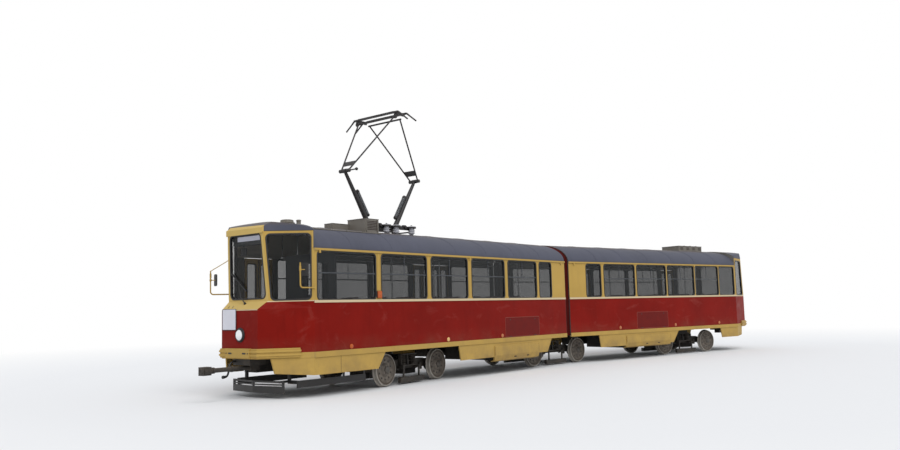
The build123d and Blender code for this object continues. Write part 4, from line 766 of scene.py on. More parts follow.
def cab_side(side):
    """The cab's side wall above the sill and its window's outline."""
    face, squeeze = sloped_plane(side, -1, CAB_BACK, CAB_LOW, CAB_TOP, CAB_SILL_Z, CAB_WALL_TOP)
    near, far_low, far_top = ((x - CAB_BACK) / squeeze
                              for x in (CAB_BACK + 0.04, CAB_LOW_X - 0.038, CAB_TOP_X - 0.048))
    low, top = CAB_SILL_Z + 0.01, CAB_GLASS_TOP - 0.03
    return face, ((near, low), (far_low, low), (far_top, top), (near, top))


def tail_side(side):
    """The tail's side wall above the sill and its window's outline."""
    face, squeeze = sloped_plane(side, 1, TAIL_BACK, TAIL_LOW, TAIL_TOP, SILL_Z, TAIL_WALL_TOP)
    ends = (0.12 / squeeze, (TAIL_NOSE - 0.13 - TAIL_BACK) / squeeze)
    return face, rectangle(*ends, WINDOW_LOW, TAIL_GLASS_TOP - 0.035)


def end_window_trim():
    """Rubber round the windscreens and the side windows of the cab and the tail."""
    for name, body, face, screen, side_of in (("cab", FRONT, CAB_FACE, CAB_SCREEN, cab_side),
                                              ("tail", REAR, TAIL_FACE, TAIL_SCREEN, tail_side)):
        rubber = Form()
        for profile in (OUTER_SEAL, INNER_SEAL):
            face.sweep(rubber, screen, WINDOW_R + 0.02, profile)
            for side in (-1, 1):
                wall, outline = side_of(side)
                wall.sweep(rubber, outline, WINDOW_R, profile, 10)
        rubber.made(name + "_window_rubber", "seal", body, "black_steel")


def nose_details():
    """Blank route board, ledge moulding and hinges on the nose."""
    nose = Plane((-CAB_NOSE, 0.0, 0.0), -Y, -X)
    board, rim, moulding, hinges = Form(), Form(), Form(), Form()
    nose.plate(board, rectangle(-0.5, -0.095, 1.28, 1.66), 0.012, 0.014, low=0.01)
    nose.sweep(rim, rectangle(-0.504, -0.091, 1.276, 1.664), 0.014, rectangle(-4, 4, 2, 16))
    for u in (-0.42, -0.18):
        nose.disc(rim, u, 1.47, ((0.3, 20), (9.5, 20)), 12)
    edge = CAB_NOSE_HALF - 0.004
    nose.plate(moulding, rectangle(-edge, edge, LEDGE_LOW - 0.02, LEDGE_LOW - 0.002), 0.006, 0.007, 0.005)
    for y in (0.4, 0.27):
        hinges.skin([[LEDGE.at(y + shift, v, w) for shift, v in ((0.0, 0.05), (0.012, 0.05), (0.03, 0.115),
                                                                 (0.018, 0.115))] for w in (HAIR, 0.004)])
    board.made("route_board_blank", "white", FRONT, "cream_paint")
    rim.made("route_board_frame", "frame", FRONT, "black_steel")
    moulding.made("nose_moulding", "pale", FRONT, "cream_paint")
    hinges.made("ledge_hinges", "seal", FRONT, "black_steel")


def wiper():
    """The wiper: its spindle on the ledge, its arm in two lengths and its blade on the windscreen."""

    def on_screen(u, z, w=0.0):
        return CAB_FACE.at(u, (z - CAB_SILL_Z) / CAB_UP, w)

    form = Form()
    pivot = LEDGE.at(0.01, (1.756 - LEDGE_LOW) / LEDGE_UP, HAIR)
    form.lathe(pivot, LEDGE.out, ((0, 26), (14, 26), (20, 18), (34, 16), (38, 10)), 16)
    elbow, mount = on_screen(0.134, 1.88, 0.055), on_screen(0.228, 2.165, 0.03)
    form.tube((pivot + LEDGE.out * 0.03, elbow), (0.011, 0.009), 8)
    form.tube((elbow, mount), (0.009, 0.006), 8)
    blade = [on_screen(0.01 + 0.436 * t, 1.99 + 0.35 * t) for t in (0.0, 0.25, 0.5, 0.75, 1.0)]
    for spread, low, high in ((0.01, 0.016, 0.026), (0.004, -0.014, 0.016)):
        across = (blade[-1] - blade[0]).normalized().cross(CAB_FACE.out) * spread
        form.skin([[p + across * a + CAB_FACE.out * w for a, w in rectangle(-1, 1, low, high)]
                   for p in blade])
    form.made("wiper", "seal", FRONT, "black_steel")


def destination_box():
    """The box behind the windscreen's top and its lit, blank panel."""
    case, panel = Form(), Form()
    x = 0.1 - CAB_TOP_X
    case.box((x, -0.36, 2.875), (x + 0.2, 0.49, 3.055), 0.008)
    front = Plane((x - 0.0002, 0.0, 0.0), -Y, -X)
    front.plate(panel, rectangle(-0.35, 0.334, 2.945, 3.035), 0.006, 0.004, low=0.0002)
    case.made("destination_box", "cab_grey", FRONT, "cab_grey")
    panel.made("destination_panel_blank", "lit_panel", FRONT, "cab_grey")


def head_lamp():
    """Bowl, fluted lens, ring and rubber gasket, for the CAD's plain lamp."""
    centre = Vector((-CAB_NOSE - HAIR, -0.03, RAIL + 1.16))
    gasket, ring, lens = Form(), Form(), Form()
    gasket.ring(centre, -X, ((0, 100), (0, 135), (12, 135), (20, 128), (20, 100)))
    ring.ring(centre, -X, ((12, 106), (12, 122), (30, 119), (40, 108), (36, 98), (26, 98)))
    lens.lathe(centre, -X, ((2, 80), (22, 102), (34, 97.5), (41, 85), (46, 60), (48, 30), (48.5, 0)), 48)
    edge, dome, crown = 0.09, 0.95, 0.046
    for k in range(-4, 5):
        z = k * 0.019
        reach = sqrt(edge ** 2 - z ** 2)
        flute = [(dome * (y * y + z * z) - crown, y) for y in (-reach, -reach / 2, 0.0, reach / 2, reach)]
        lens.tube([centre + Vector((x, z, y)) for x, y in flute], 0.003, 6)
    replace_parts(lens.made("head_lamp_lens", "mirror", FRONT, "lamp_lens"), "front_lamps")
    ring.made("head_lamp_ring", "seal", FRONT, "black_steel")
    gasket.made("head_lamp_gasket", "seal", FRONT, "black_steel")


def rear_lamp_rings():
    """A bright ring and a domed lens on each tail lamp."""
    rings, domes = Form(), Form()
    for side in (-1, 1):
        for z in (RAIL + 1.06, RAIL + 1.24):
            y = side * 0.62
            rings.ring((TAIL_NOSE + HAIR, y, z), X, ((0, 62.5), (0, 74), (20, 74), (32, 66), (32, 62.5)))
            domes.lathe((TAIL_NOSE + 0.0284, y, z), X, ((0, 60), (6, 56), (10, 40), (12, 0)))
    rings.made("rear_lamp_rings", "chrome", REAR, "rail_steel")
    domes.made("rear_lamp_lenses", "red_lens", REAR, "red_lens")


def side_flap(section, face, fittings):
    """The faded flap in the left wall, its edge, and its catches and hinges."""
    prefix = PREFIX[section]
    x0, x1, z0, z1 = FLAPS[section]
    flap, edge = Form(), Form()
    face.plate(flap, rectangle(x0 + 0.006, x1 - 0.006, z0 + 0.006, z1 - 0.006), 0.018, 0.0035)
    face.sweep(edge, rectangle(x0 - 0.004, x1 + 0.004, z0 - 0.004, z1 + 0.004), 0.024,
               ((-6, 0.3), (6, 0.3), (4, 1.8), (-4, 1.8)))
    flap.made(prefix + "_side_flap", "faded", section, "red_paint")
    edge.made(prefix + "_flap_edge", "flap_edge", section, "red_paint")
    for x in (x0 + 0.2, x1 - 0.2):
        face.disc(fittings, x, z1 - 0.05, ((3.6, 16), (7, 16), (9, 10)), 16)
        fittings.tube([face.at(x + dx, z0 + 0.008, 0.005) for dx in (-0.05, 0.05)], 0.006, 8)


def skirt_seams(section, seams):
    """Seams of the left skirt and of the pod under it, and the pod's latches on its slope."""
    top = BAND_LOW - 0.001
    a, b, foot = PODS[section]
    foot += RAIL
    for x in SKIRT_SEAMS[section]:
        line = rectangle(x - 0.004, x + 0.004, RAIL + 0.405, top)
        side_plane(-1, SKIRT_FACE).plate(seams, line, 0.002, 0.0018, 0.001)
    for x in (a + 0.02, b - 0.02):
        line = rectangle(x - 0.003, x + 0.003, foot + 0.16, top - 0.08)
        side_plane(-1, POD_FACE).plate(seams, line, 0.002, 0.0018, 0.001)
    slope = Vector((0.0, -0.037, 0.12)).normalized()
    panel = Plane((0.0, -SKIRT_FACE - 0.0035, foot + 0.09), X, Vector((0.0, -slope.z, slope.y)), slope)
    for x in ((a + b) / 2 - 0.1, (a + b) / 2 + 0.45):
        panel.plate(seams, rectangle(x - 0.045, x + 0.045, -0.014, 0.014), 0.006, 0.004, low=0.0004)


def reflectors(section, side_name, clear=0.1):
    """Round reflectors along a side, all of them clear of the doorways, and the lens of the orange lamp."""
    side = SIDES[side_name]
    face, lenses = side_plane(side), defaultdict(Form)
    for x, lens in REFLECTORS[section]:
        in_doorway = any(-clear < x - start < DOORWAY_W[n] + clear for _, start, n in DOORWAYS[section])
        if side < 0 or not in_doorway:
            face.disc(lenses[lens], x, REFLECTOR_Z[section], ((0.3, 45), (8, 45), (12, 38), (13, 0)), 24)
    if side < 0 and section == FRONT:
        face.plate(lenses["amber"], rectangle(-7.428, -7.312, 1.816, 1.962), 0.014, 0.04, 0.01, 0.0182)
    for lens, form in lenses.items():
        form.made(f"{PREFIX[section]}_{lens}_reflectors_{side_name}", lens, section, "red_lens")


def side_details(section):
    """Reflectors on both sides, and on the left the flap, seams, drain spouts and the orange lamp."""
    prefix, left = PREFIX[section], side_plane(-1)
    fittings, seams, spouts = Form(), Form(), Form()
    side_flap(section, left, fittings)
    skirt_seams(section, seams)
    reflectors(section, "left")
    if section == FRONT:
        left.plate(fittings, rectangle(-7.432, -7.308, 1.812, 1.966), 0.014, 0.018)
    for x in SPOUTS[section]:
        spouts.box((x - 0.025, -HALF_W - 0.03, GUTTER_LOW - 0.055),
                   (x + 0.025, -HALF_W - 0.0075, GUTTER_LOW + 0.01), 0.006)
    fittings.made(prefix + "_fittings_left", "seal", section, "black_steel")
    seams.made(prefix + "_skirt_seams_left", "gap", section, "black_steel")
    spouts.made(prefix + "_drain_spouts_left", "cream", section, "cream_paint")
    reflectors(section, "right")


def bellows():
    """The pleated cover of the joint, in strips that are each shaped to the present bend between the sections
    at their own width.
    """
    half, rise, reach, folds, steps, skin = HALF_W - 0.014, ROOF_RISE - 0.01, 0.221, 5, 50, 0.01
    low = BAND_LOW + 0.04
    outline = [(-half, low), (-half, 1.4), (-half, 2.05)]
    outline += [(half * cos(a), GUTTER_TOP + rise * sin(a)) for a in (pi - pi * k / 28 for k in range(29))]
    outline += [(half, 2.05), (half, 1.4), (half, low)]
    count = len(outline)

    def sunk(point, depth):
        y, z = point
        if z <= GUTTER_TOP:
            away = Vector((1.0 if y > 0 else -1.0, 0.0))
        else:
            away = Vector((y / half ** 2, (z - GUTTER_TOP) / rise ** 2)).normalized()
        return y - away.x * depth, z - away.y * depth

    cuts = [0, *range(3, count - 3, 2), count - 1]
    for number, (first, last) in enumerate(zip(cuts, cuts[1:]), 1):
        span, rows = outline[first:last + 1], []
        for k in range(steps + 1):
            t = k / steps
            fold = 0.5 - 0.5 * cos(2 * pi * folds * t)
            depth = 0.03 * (1.0 - fold ** 0.7) + 0.004
            turn = Matrix.Rotation(BEND * t, 4, "Z")
            ring = [sunk(point, depth) for point in span]
            ring += [sunk(point, depth + skin) for point in span[::-1]]
            rows.append([turn @ Vector((-reach + 2 * reach * t, y, z)) for y, z in ring])
        piece = Form().skin(rows).made(f"bellows_strip_{number}", "bellows", None, "bellows_skin", sharp=80)
        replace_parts(piece, "bellows")
        y, z = ((a + b) / 2 for a, b in zip(span[0], span[-1]))
        TURN[REAR] @ Vector((SECTION_END, y, z))
        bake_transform(piece)
    for body, sign in ((FRONT, -1), (REAR, 1)):
        rim = Form()
        x0, x1 = sorted((sign * 0.2245, sign * 0.204))
        rows = []
        for x, grow in ((x0, -0.006), (x0, 0.006), (x1, 0.006), (x1, -0.006)):
            wide, tall = (half + grow) / half, (rise + grow) / rise
            rows.append([(x, y * wide, z if z <= GUTTER_TOP else GUTTER_TOP + (z - GUTTER_TOP) * tall)
                         for y, z in outline])
        rim.skin([[row[i] for row in rows] for i in range(count)])
        rim.made(PREFIX[body] + "_bellows_rim", "seal", body, "black_steel")


def wheel_details():
    """Retaining rings, bolts and hub caps on both faces of every wheel."""
    rim_face, web_face, hub_face = 0.78, 0.747, 0.792
    for joint in SPINS:
        axis, middle, body = Vector(joint["axis"]), Vector(joint["pos_m"]), joint["child"]
        rim, bolts = Form(), Form()
        for side in (-1, 1):
            out = axis * side
            hub = middle + out * (hub_face + HAIR)
            rim.ring(middle + out * rim_face, out, ((0.3, 283), (0.3, 300), (6, 300), (9, 295), (9, 287)), 56)
            rim.collar(middle + out * (web_face + HAIR), out, 232, 246, 7, 48)
            bolts.lathe(hub, out, ((0, 72), (18, 72), (26, 60), (28, 0)), 24)
            bolts.studs(middle + out * (web_face + 0.0005), out, 0.196, 10,
                        ((0, 24), (4, 24), (4.5, 16), (17, 16), (19, 12)))
            bolts.studs(hub, out, 0.088, 6, ((0, 10), (10, 10), (12, 7)), 0.5)
        name = body.replace("_wheels_", "_wheel_")
        rim.made(name + "_rings", joint["name"], body, "wheel_steel", Matrix.Identity(4))
        bolts.made(name + "_bolts", "hub", body, "wheel_steel", Matrix.Identity(4))


def bogie_details():
    """Spring nests, dampers, axle box lids and brake rods, drawn square to each bogie and then turned."""
    inner, axle_x, axle_z = 0.576, 0.95, 0.349
    for name in ("front", "centre", "rear"):
        yaw = JOINTS[name + "_bogie_yaw"]
        axle = JOINTS[name + "_wheels_lead_spin"]["axis"]
        turn = Matrix.Rotation(atan2(-axle[0], axle[1]), 4, "Z")
        place = Matrix.Translation(Vector((*yaw["pos_m"][:2], 0.0))) @ turn
        springs, parts = Form(), Form()
        for side in (-1, 1):
            out, y = Y * side, side * 0.63
            for z in (0.372, 0.612):
                parts.box((-0.26, side * inner, z), (0.26, side * 0.7, z + 0.02), 0.004)
            for x in (-0.17, 0.17):
                springs.helix((x, y, 0.4), (x, y, 0.606), 0.052, 0.011, 5)
                parts.lathe((x, y, 0.3921), Z, ((0, 66), (10, 66), (14, 40), (30, 38)), 20)
            parts.tube(((0.0, y, 0.394), (0.0, y, 0.5)), 0.03, 14)
            parts.tube(((0.0, y, 0.5), (0.0, y, 0.611)), 0.018, 12)
            for x in (-0.25, 0.25):
                parts.box((x - 0.012, side * inner, 0.39), (x + 0.012, side * 0.66, 0.613), 0.004)
            for sign in (-1, 1):
                parts.tube(((sign * 0.3, side * 0.61, 0.3), (sign * 0.52, side * 0.61, 0.345)), 0.016)
                parts.box((sign * 0.47, side * 0.582, 0.26), (sign * 0.57, side * 0.618, 0.42), 0.01)
                lid = Vector((sign * axle_x, side * 0.5705, axle_z))
                parts.ring(lid, out, ((0, 68), (0, 118), (12, 112), (18, 85), (18, 68)), 28)
                parts.studs(lid + out * 0.012, out, 0.1, 6, ((0, 9), (8, 9), (10, 6)), first=X)
        springs.made(name + "_bogie_springs", "under", name + "_bogie", "under_grey", place)
        parts.made(name + "_bogie_fittings", "under", name + "_bogie", "under_grey", place)


def roof_seams():
    """Welded seams over the arch of both roofs."""
    seam = ((-0.016, 0.0004), (0.016, 0.0004), (0.01, 0.007), (-0.01, 0.007))
    for section, seams in ((FRONT, (-8.1, -6.95, -4.85, -3.7, -2.55, -1.4)),
                           (REAR, (1.35, 2.5, 3.65, 4.8, 5.95, 7.1))):
        ribs = Form()
        for x in seams:
            rows = []
            for k in range(33):
                a = radians(6 + 168 * k / 32)
                away = Vector((0.0, cos(a) / HALF_W, sin(a) / ROOF_RISE)).normalized()
                base = Vector((x, HALF_W * cos(a), GUTTER_TOP + ROOF_RISE * sin(a)))
                rows.append([base + away * lift + X * dx for dx, lift in seam])
            ribs.skin(rows)
        ribs.made(PREFIX[section] + "_roof_seams", PREFIX[section] + "_roof", section, "roof_grey")


LEAF_SEAL = ((-10, -14), (-10, 0.8), (-6, 2.8), (6, 2.8), (10, 0.8), (10, 0.3), (-0.3, 0.3), (-0.3, -14))


def door_trim():
    """Rubber round every leaf's pane on both faces and along its upright edges."""
    for section, rows in DOORWAYS.items():
        for name, start, leaves in rows:
            for i in range(leaves):
                x0 = start + POST_GAP + i * (LEAF_W + LEAF_GAP)
                rubber = Form()
                pane = rectangle(x0 + 0.06, x0 + LEAF_W - 0.06, FLOOR_Z + 0.3, DOOR_TOP - 0.11)
                for face in (side_plane(1, DOOR_FACE), side_plane(-1, DOOR_T - DOOR_FACE)):
                    face.sweep(rubber, pane, 0.045, LEAF_SEAL)
                    for x in (x0 + 0.0004, x0 + LEAF_W - 0.0064):
                        edge = rectangle(x, x + 0.006, DOOR_LOW + 0.004, DOOR_TOP - 0.004)
                        face.plate(rubber, edge, 0.002, 0.0022, 0.001)
                body = f"{name}_leaf_{i + 1}"
                rubber.made(body + "_rubber", "seal", body, "black_steel", TURN[section])


def arch_z(y, depth=0.0):
    """The height of the roof's outer face over y, or of the face at a depth inside it."""
    return GUTTER_TOP + (ROOF_RISE - depth) * sqrt(1 - (y / (HALF_W - depth)) ** 2)


def collector_details():
    """Carbon strips and horn bends of the pantograph's head."""
    strips, bends = Form(), Form()
    for x in (PANTO_X - APEX_HALF, PANTO_X + APEX_HALF):
        for a, b in ((-0.56, -0.19), (-0.185, 0.185), (0.19, 0.56)):
            strips.box((x - 0.021, a, PAN_Z + 0.0002), (x + 0.021, b, PAN_Z + 0.009), 0.002)
        for side in (-1, 1):
            bends.tube([(x, side * y, PAN_Z + z) for y, z in ((0.6, -0.018), (0.655, -0.018), (0.7, -0.029),
                                                              (0.735, -0.053), (0.765, -0.08))], 0.0195, 12)
    strips.made("pan_carbons", "carbon", "panto_head", "black_steel")
    bends.made("pan_horn_bends", "panto", "panto_head", "black_steel")


def insulator_details():
    """Sheds, caps and bolts of the six insulators under the pantograph."""
    sheds, tops, bolts = Form(), Form(), Form()
    apart = 0.385
    foot = arch_z(apart) + 0.012
    height = (PANTO_Z - 0.0203 - foot) * 1000
    body = ((0, 40.3), (0, 55), (18, 58), (28, 80), (36, 80), (50, 56), (68, 56), (78, 80), (86, 80),
            (100, 56), (height, 52), (height, 40.3))
    cap = ((0.3, 40.5), (0.3, 103), (7, 100), (15, 70), (16, 40.5))
    for x in (PANTO_X - 0.26, PANTO_X + 0.05, PANTO_X + 0.56):
        for y in (-apart, apart):
            sheds.ring((x, y, foot), Z, body, 28)
            tops.ring((x, y, PANTO_Z + 0.015), Z, cap, 32)
            bolts.lathe((x, y, PANTO_Z + 0.0372), Z, ((0, 20), (14, 20), (16, 14)), 6)
    sheds.made("insulator_sheds", "porcelain", FRONT, "cream_paint")
    tops.made("insulator_caps", "porcelain", FRONT, "cream_paint")
    bolts.made("insulator_bolts", "hub", FRONT, "wheel_steel")


def arm_details():
    """Coil springs with their collars on the lower arms, caps on base shafts and knees, and the roof lead."""
    for sign, end in ((-1, "front"), (1, "rear")):
        coil, collars, caps = Form(), Form(), Form()
        base = Vector((PANTO_X + sign * BASE_HALF, 0.0, PANTO_Z))
        knee = Vector((PANTO_X + sign * KNEE_X, 0.0, KNEE_Z))
        along = Vector((sign * cos(PANTO_RISE), 0.0, sin(PANTO_RISE)))
        line = base + Vector((-sign * along.z, 0.0, abs(along.x))) * 0.095
        coil.helix(line + along * 0.262, line + along * 0.798, 0.04, 0.005, 26)
        for t in (0.24, 0.82):
            collars.collar(line + along * (t - 0.012), along, 36.3, 47, 24, 24)
        for side in (-1, 1):
            collars.lathe(base + Y * side * 0.3603, Y * side, ((0, 34), (10, 34), (16, 20)), 18)
            caps.lathe(knee + Y * side * 0.1503, Y * side, ((0, 30), (8, 30), (14, 18)), 18)
        coil.made("arm_spring_" + end, "alloy", "panto_lower_" + end, "wheel_steel")
        collars.made("arm_collars_" + end, "panto", "panto_lower_" + end, "black_steel")
        caps.made("knee_caps_" + end, "hub", "panto_upper_" + end, "wheel_steel")
    lead = Form()
    lead.tube([(PANTO_X - x, y, z) for x, y, z in (
        (0.45, -0.3, PANTO_Z - 0.06), (0.53, -0.33, PANTO_Z - 0.09), (0.62, -0.36, arch_z(0.36) + 0.05),
        (0.7, -0.38, arch_z(0.38) + 0.018), (0.76, -0.38, arch_z(0.38) + 0.016))], 0.014, 10)
    lead.made("roof_lead", "seal", FRONT, "black_steel")


def front_roof_fittings():
    """Lids and louvres on the front cases, caps on the vents, and a conduit along the roof's left edge."""
    lids, slats, pipe = Form(), Form(), Form()
    crown, case_side = arch_z(0.0), arch_z(0.62)
    lids.box((-7.165, -0.63, RAIL + 3.4702), (-6.74, -0.09, RAIL + 3.481), 0.004)
    lids.box((-7.622, -0.133, RAIL + 3.3802), (-7.165, 0.133, RAIL + 3.39), 0.004)
    for k in range(6):
        z = case_side + 0.06 + 0.034 * k
        slats.box((-7.125, -0.629, z), (-6.78, -0.6203, z + 0.016))
    for x in (-7.13, -6.8):
        lids.box((x, -0.64, case_side + 0.02), (x + 0.022, -0.6203, RAIL + 3.462))
    lids.lathe((-8.72, 0.0, crown + 0.1103), Z, ((0, 130), (10, 127), (22, 95), (28, 45), (29, 0)))
    lids.ring((-8.72, 0.0, crown + 0.06), Z, ((0, 130.3), (0, 158), (8, 160), (22, 130.3)), 32)
    lids.lathe((-8.42, 0.0, crown + 0.1203), Z, ((0, 45), (4, 52), (22, 52), (34, 30), (38, 0)), 20)
    pipe.tube([(-6.8 - 0.2 * k, -0.74, arch_z(0.74) + 0.011) for k in range(11)], 0.011, 8)
    for k in range(5):
        x = -6.9 - 0.45 * k
        pipe.box((x - 0.012, -0.762, arch_z(0.76) + 0.001), (x + 0.012, -0.718, arch_z(0.74) + 0.026), 0.004)
    lids.made("roof_case_lids", "case", FRONT, "roof_grey")
    slats.made("roof_case_louvres", "gap", FRONT, "roof_grey")
    pipe.made("roof_conduit", "case", FRONT, "roof_grey")


def rear_roof_fittings():
    """The lid with its straps and the louvres of the rear case."""
    lid, slats = Form(), Form()
    lid.box((6.378, -0.342, RAIL + 3.4002), (7.652, 0.342, RAIL + 3.411), 0.004)
    for x in (6.7, 7.02, 7.34):
        lid.box((x - 0.014, -0.345, RAIL + 3.4113), (x + 0.014, 0.345, RAIL + 3.42))
    for side in (-1, 1):
        for x in (6.48, 6.8, 7.12, 7.44):
            for k in range(3):
                z = arch_z(0.33) + 0.045 + 0.032 * k
                slats.box((x, side * 0.3303, z), (x + 0.15, side * 0.338, z + 0.014))
    lid.made("rear_case_lid", "case", REAR, "roof_grey")
    slats.made("rear_case_louvres", "gap", REAR, "roof_grey")


def saloon_fittings(section):
    """Ceiling light covers, and grab rails on hangers."""
    lights, rails = Form(), Form()
    lit, count, a, b = (-8.3, 5, -8.38, -0.8) if section == FRONT else (0.8, 4, 0.8, 7.25)
    rail_z = 2.7
    for side in (-1, 1):
        for k in range(count):
            x, z = lit + 1.55 * k, arch_z(0.41, ROOF_T)
            lights.box((x, side * 0.35 - 0.06, z - 0.05), (x + 1.25, side * 0.35 + 0.06, z - 0.0005), 0.012)
        y = side * 0.62
        rails.tube(((a, y, rail_z), (b, y, rail_z)), 0.015, 12)
        for k in range(6):
            x = a + 0.05 + (b - a - 0.1) * k / 5
            rails.tube(((x, y, rail_z), (x, y, arch_z(0.62, ROOF_T) - 0.0008)), 0.011, 10)
            rails.collar((x, y, rail_z - 0.02), Z, 15.2, 22, 40, 14)
    lights.made(PREFIX[section] + "_ceiling_lights", "white", section, "cream_paint")
    rails.made(PREFIX[section] + "_grab_rails", "chrome", section, "rail_steel")


def cab_interior():
    """Dials on a binnacle, buttons, the controller and the inner mirror."""
    dark, bright, faces, reds = Form(), Form(), Form(), Form()
    dark.box((-9.47, -0.42, 1.665), (-9.39, -0.02, 1.8), 0.012)
    for y in (-0.35, -0.22, -0.09):
        spot = (-9.3897, y, 1.735)
        bright.ring(spot, X, ((0, 38), (0, 47), (10, 46), (12, 38)), 28)
        faces.lathe(spot, X, ((0.1, 37.5), (4, 37.5)), 28)
        dark.box((-9.385, y - 0.0025, 1.728), (-9.383, y + 0.0025, 1.765), 0.0008)
    slope = Vector((0.19, 0.0, -0.15)).normalized()
    desk = Plane((-9.29, 0.0, SILL_Z - 0.11), slope, Vector((0.15, 0.0, 0.19)).normalized(), Y)
    for row in range(2):
        for k in range(6):
            form = reds if (k + row) % 4 == 0 else bright
            desk.disc(form, 0.055 + 0.06 * row, -0.48 + 0.046 * k, ((0.3, 13), (7, 13), (10, 9)), 14)
    post = desk.at(0.12, 0.06, HAIR)
    dark.lathe(post, Z, ((0, 55), (30, 50), (36, 20), (90, 16)), 20)
    dark.tube((post + Z * 0.085, post + Vector((0.03, 0.085, 0.105))), 0.011)
    dark.lathe(post + Vector((0.03, 0.085, 0.098)), Z, ((0, 10), (10, 22), (34, 22), (44, 10)), 16)
    dark.tube(((-9.61, 0.205, 2.872), (-9.602, 0.205, 2.845), (-9.6, 0.205, 2.83)), 0.008, 8)
    mirror = Plane((-9.596, 0.205, 2.755), Y, X)
    mirror.plate(dark, rectangle(-0.09, 0.09, -0.08, 0.08), 0.03, 0.0, low=-0.014)
    mirror.plate(faces, rectangle(-0.08, 0.08, -0.07, 0.07), 0.024, 0.002, 0.001)
    dark.made("cab_controls", "seal", FRONT, "cab_grey")
    bright.made("cab_dial_rings", "alloy", FRONT, "cab_grey")
    faces.made("cab_dial_faces", "white", FRONT, "cab_grey")
    reds.made("cab_red_buttons", "red_lens", FRONT, "red_lens")


def outer_mirrors():
    """The glass on each mirror tube, its clamp, and the far tube's stay to the cab."""
    backs, glasses, clamps = Form(), Form(), Form()
    for side, x, y, z, tube_x, tube_y in ((-1, -9.372, -1.3, 2.345, -9.462, -1.2603),
                                          (1, -9.44, 1.33, 2.26, -9.519, 1.4053)):
        face = Plane((x, y, z), (Y + X * side * 0.25).normalized(), (X - Y * side * 0.25).normalized())
        face.plate(backs, rectangle(-0.07, 0.07, -0.12, 0.12), 0.035, 0.0, 0.004, -0.018)
        face.plate(glasses, rectangle(-0.062, 0.062, -0.112, 0.112), 0.03, 0.002, 0.001)
        clamps.tube(((tube_x, tube_y, z), (x - 0.016, y, z)), 0.008, 8)
        clamps.collar((tube_x, tube_y, z - 0.022), Z, 13.2, 21, 44, 16)
    clamps.tube(((-9.519, 1.4053, 2.442), (-9.69, 0.64, 2.585), (-9.712, 0.56, 2.6)), 0.008, 8)
    backs.made("mirror_backs", "seal", FRONT, "black_steel")
    glasses.made("mirror_glasses", "mirror", FRONT, "lamp_lens")
    clamps.made("mirror_clamps", "cream", FRONT, "black_steel")


def coupler_details(section):
    """Jaw plates, collars and brake hose of a drawbar, and the slots of its bumper box."""
    sign, nose = (-1, CAB_NOSE) if section == FRONT else (1, TAIL_NOSE)
    out, tip, z = X * sign, nose + 0.82, RAIL + 0.55
    jaw, hose, slots = Form(), Form(), Form()
    for side in (-1, 1):
        jaw.box((sign * (tip - 0.15), side * 0.0753, z - 0.055),
                (sign * (tip - 0.02), side * 0.086, z + 0.055), 0.004)
        for dx in (0.045, 0.125):
            jaw.lathe((sign * (tip - dx), side * 0.0862, z), Y * side, ((0, 16), (10, 16), (12, 10)), 6)
    jaw.ring((sign * (tip + HAIR), 0.0, z), out, ((0, 30), (0, 58), (10, 52), (10, 36)), 28)
    for x in (nose + 0.15, nose + 0.55):
        jaw.collar((sign * x, 0.0, z), out, 42.3, 56, 40)
    hose.tube([(sign * (nose + x), y, h) for x, y, h in (
        (-0.1, 0.18, 0.7), (0.02, 0.18, 0.69), (0.09, 0.17, 0.64), (0.11, 0.16, 0.56), (0.13, 0.16, 0.48),
        (0.16, 0.15, 0.44), (0.2, 0.13, 0.43))], 0.019, 12)
    hose.lathe((sign * (nose + 0.2), 0.13, 0.43), (sign, -0.2, -0.05),
               ((0, 24), (45, 24), (55, 30), (85, 30), (90, 18)), 16)
    front = Plane((sign * (nose + 0.058), 0.0, 0.0), Y, out)
    for y in (-0.21, 0.21):
        front.plate(slots, rectangle(y - 0.055, y + 0.055, RAIL + 0.81, RAIL + 0.84), 0.014, 0.0015, 0.0005)
    for y in (-0.32, 0.32):
        front.disc(slots, y, RAIL + 0.825, ((0.3, 13), (7, 13), (9, 8)), 6)
    prefix = PREFIX[section]
    jaw.made(prefix + "_coupler_jaw", "under", section, "black_steel")
    hose.made(prefix + "_brake_hose", "seal", section, "black_steel")
    slots.made(prefix + "_bumper_slots", "seal", section, "black_steel")


def camera():
    """The camera that was fitted to the photograph, with its roll."""
    roll = radians(-1.47)
    ahead, aside = Vector((0.7765, 0.6301, 0.0)), Vector((0.6301, -0.7765, 0.0))
    forward = ahead * 0.9948 + Z * 0.1021
    level = ahead * 0.1021 - Z * 0.9948
    right = aside * cos(roll) - level * sin(roll)
    down = aside * sin(roll) + level * cos(roll)
    data = bpy.data.cameras.new("camera")
    data.lens, data.sensor_width, data.clip_end = 32.77, 36.0, 400.0
    made = bpy.data.objects.new("camera", data)
    made.matrix_world = Matrix((right, -down, -forward)).transposed().to_4x4()
    made.matrix_world.translation = (-19.264, -12.733, 1.562)
    bpy.context.collection.objects.link(made)
    bpy.context.scene.camera = made


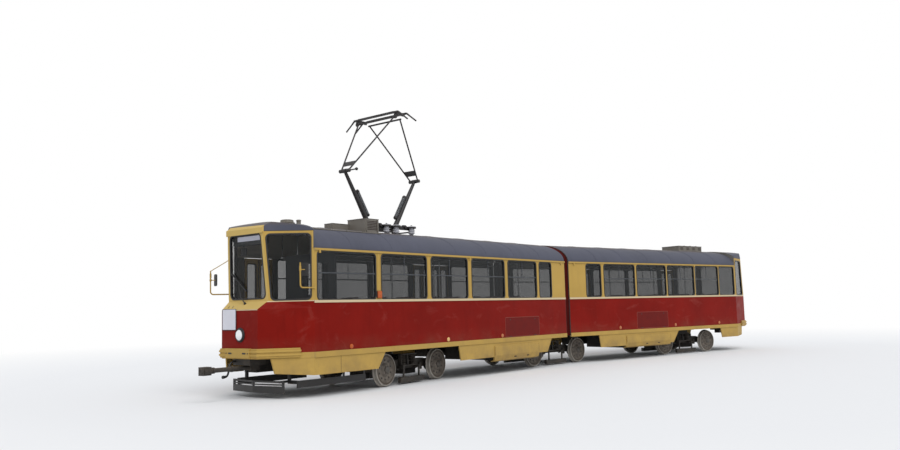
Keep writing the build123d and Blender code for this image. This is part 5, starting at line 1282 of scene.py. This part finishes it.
def lighting():
    """An overcast sky that the camera sees as white, itself and through glass, and a soft sun."""
    w = Wiring(bpy.data.worlds.new("overcast"))
    soft, white = w.tree.nodes["Background"], w.node("Background", {"Color": WHITE})
    w.fill(soft, {"Color": (0.94, 0.97, 1.0), "Strength": 0.72})
    w.blend(w.seen(), soft, white, "World Output")
    bpy.context.scene.world = w.owner
    data = bpy.data.lights.new("sky_glow", "SUN")
    data.energy, data.angle = 1.7, radians(50)
    lamp = bpy.data.objects.new("sky_glow", data)
    lamp.matrix_world = Vector((-0.4, -0.75, 1.0)).to_track_quat("Z", "Y").to_matrix().to_4x4()
    bpy.context.collection.objects.link(lamp)


def ground(reach=300.0):
    """A pale floor that fades to white far from the tram."""
    mesh = bpy.data.meshes.new("ground")
    mesh.from_pydata([(x, y, 0.0) for x, y in rectangle(-reach, reach, -reach, reach)], [], [(0, 1, 2, 3)])
    w = Surface("ground")
    mesh.materials.append(w.finish((0.78, 0.78, 0.79), 0.9, specular=0.1))
    far = w.both(w.ramp(w.vectors("LENGTH", w.place), 13.0, 30.0), w.seen())
    w.blend(far, w.shader, w.node("Emission", {"Color": WHITE}), "Material Output")
    piece = bpy.data.objects.new("ground", mesh)
    bpy.context.collection.objects.link(piece)


def material_of(name):
    """The key of a CAD node's material."""
    prefix = name.partition("_")[0]
    if "wheelset" in name:
        return name.replace("wheelset", "wheels") + "_spin"
    if "door_leaf" in name:
        return ("front" if prefix in ("front", "middle") else "rear") + "_door"
    if "wall" in name or name.endswith("_roof"):
        return prefix + ("_roof" if name.endswith("_roof") else "_wall")
    by_word = (("underframe", "floor_steel"), ("skirts", "cream"), ("bumper", "cream"), ("coupler", "under"),
               ("seats", "seat"), ("handrails", "chrome"), ("glass", "glass"), ("lamps", "red_lens"),
               ("cab_shell", "cab"), ("tail_shell", "tail"), ("lifeguard", "black"), ("cab_desk", "cab_grey"),
               ("mirror", "cream"), ("roof_boxes", "case"), ("roof_case", "case"), ("pantograph", "panto"),
               ("bellows", "bellows"), ("bogie", "under"))
    return next(value for word, value in by_word if word in name)


for section in (FRONT, REAR):
    side_window_trim(section)
    side_details(section)
for build in (end_window_trim, nose_details, wiper, destination_box, head_lamp, rear_lamp_rings, bellows,
              wheel_details, bogie_details, roof_seams, door_trim, collector_details, insulator_details,
              arm_details, front_roof_fittings, rear_roof_fittings, cab_interior, outer_mirrors):
    build()
for section in (FRONT, REAR):
    saloon_fittings(section)
    coupler_details(section)
for name, node in frame["nodes"].items():
    for slot in node.material_slots:
        slot.material = MATERIALS[material_of(name)]
ground()
camera()
lighting()
bpy.context.scene.view_settings.view_transform = "Standard"
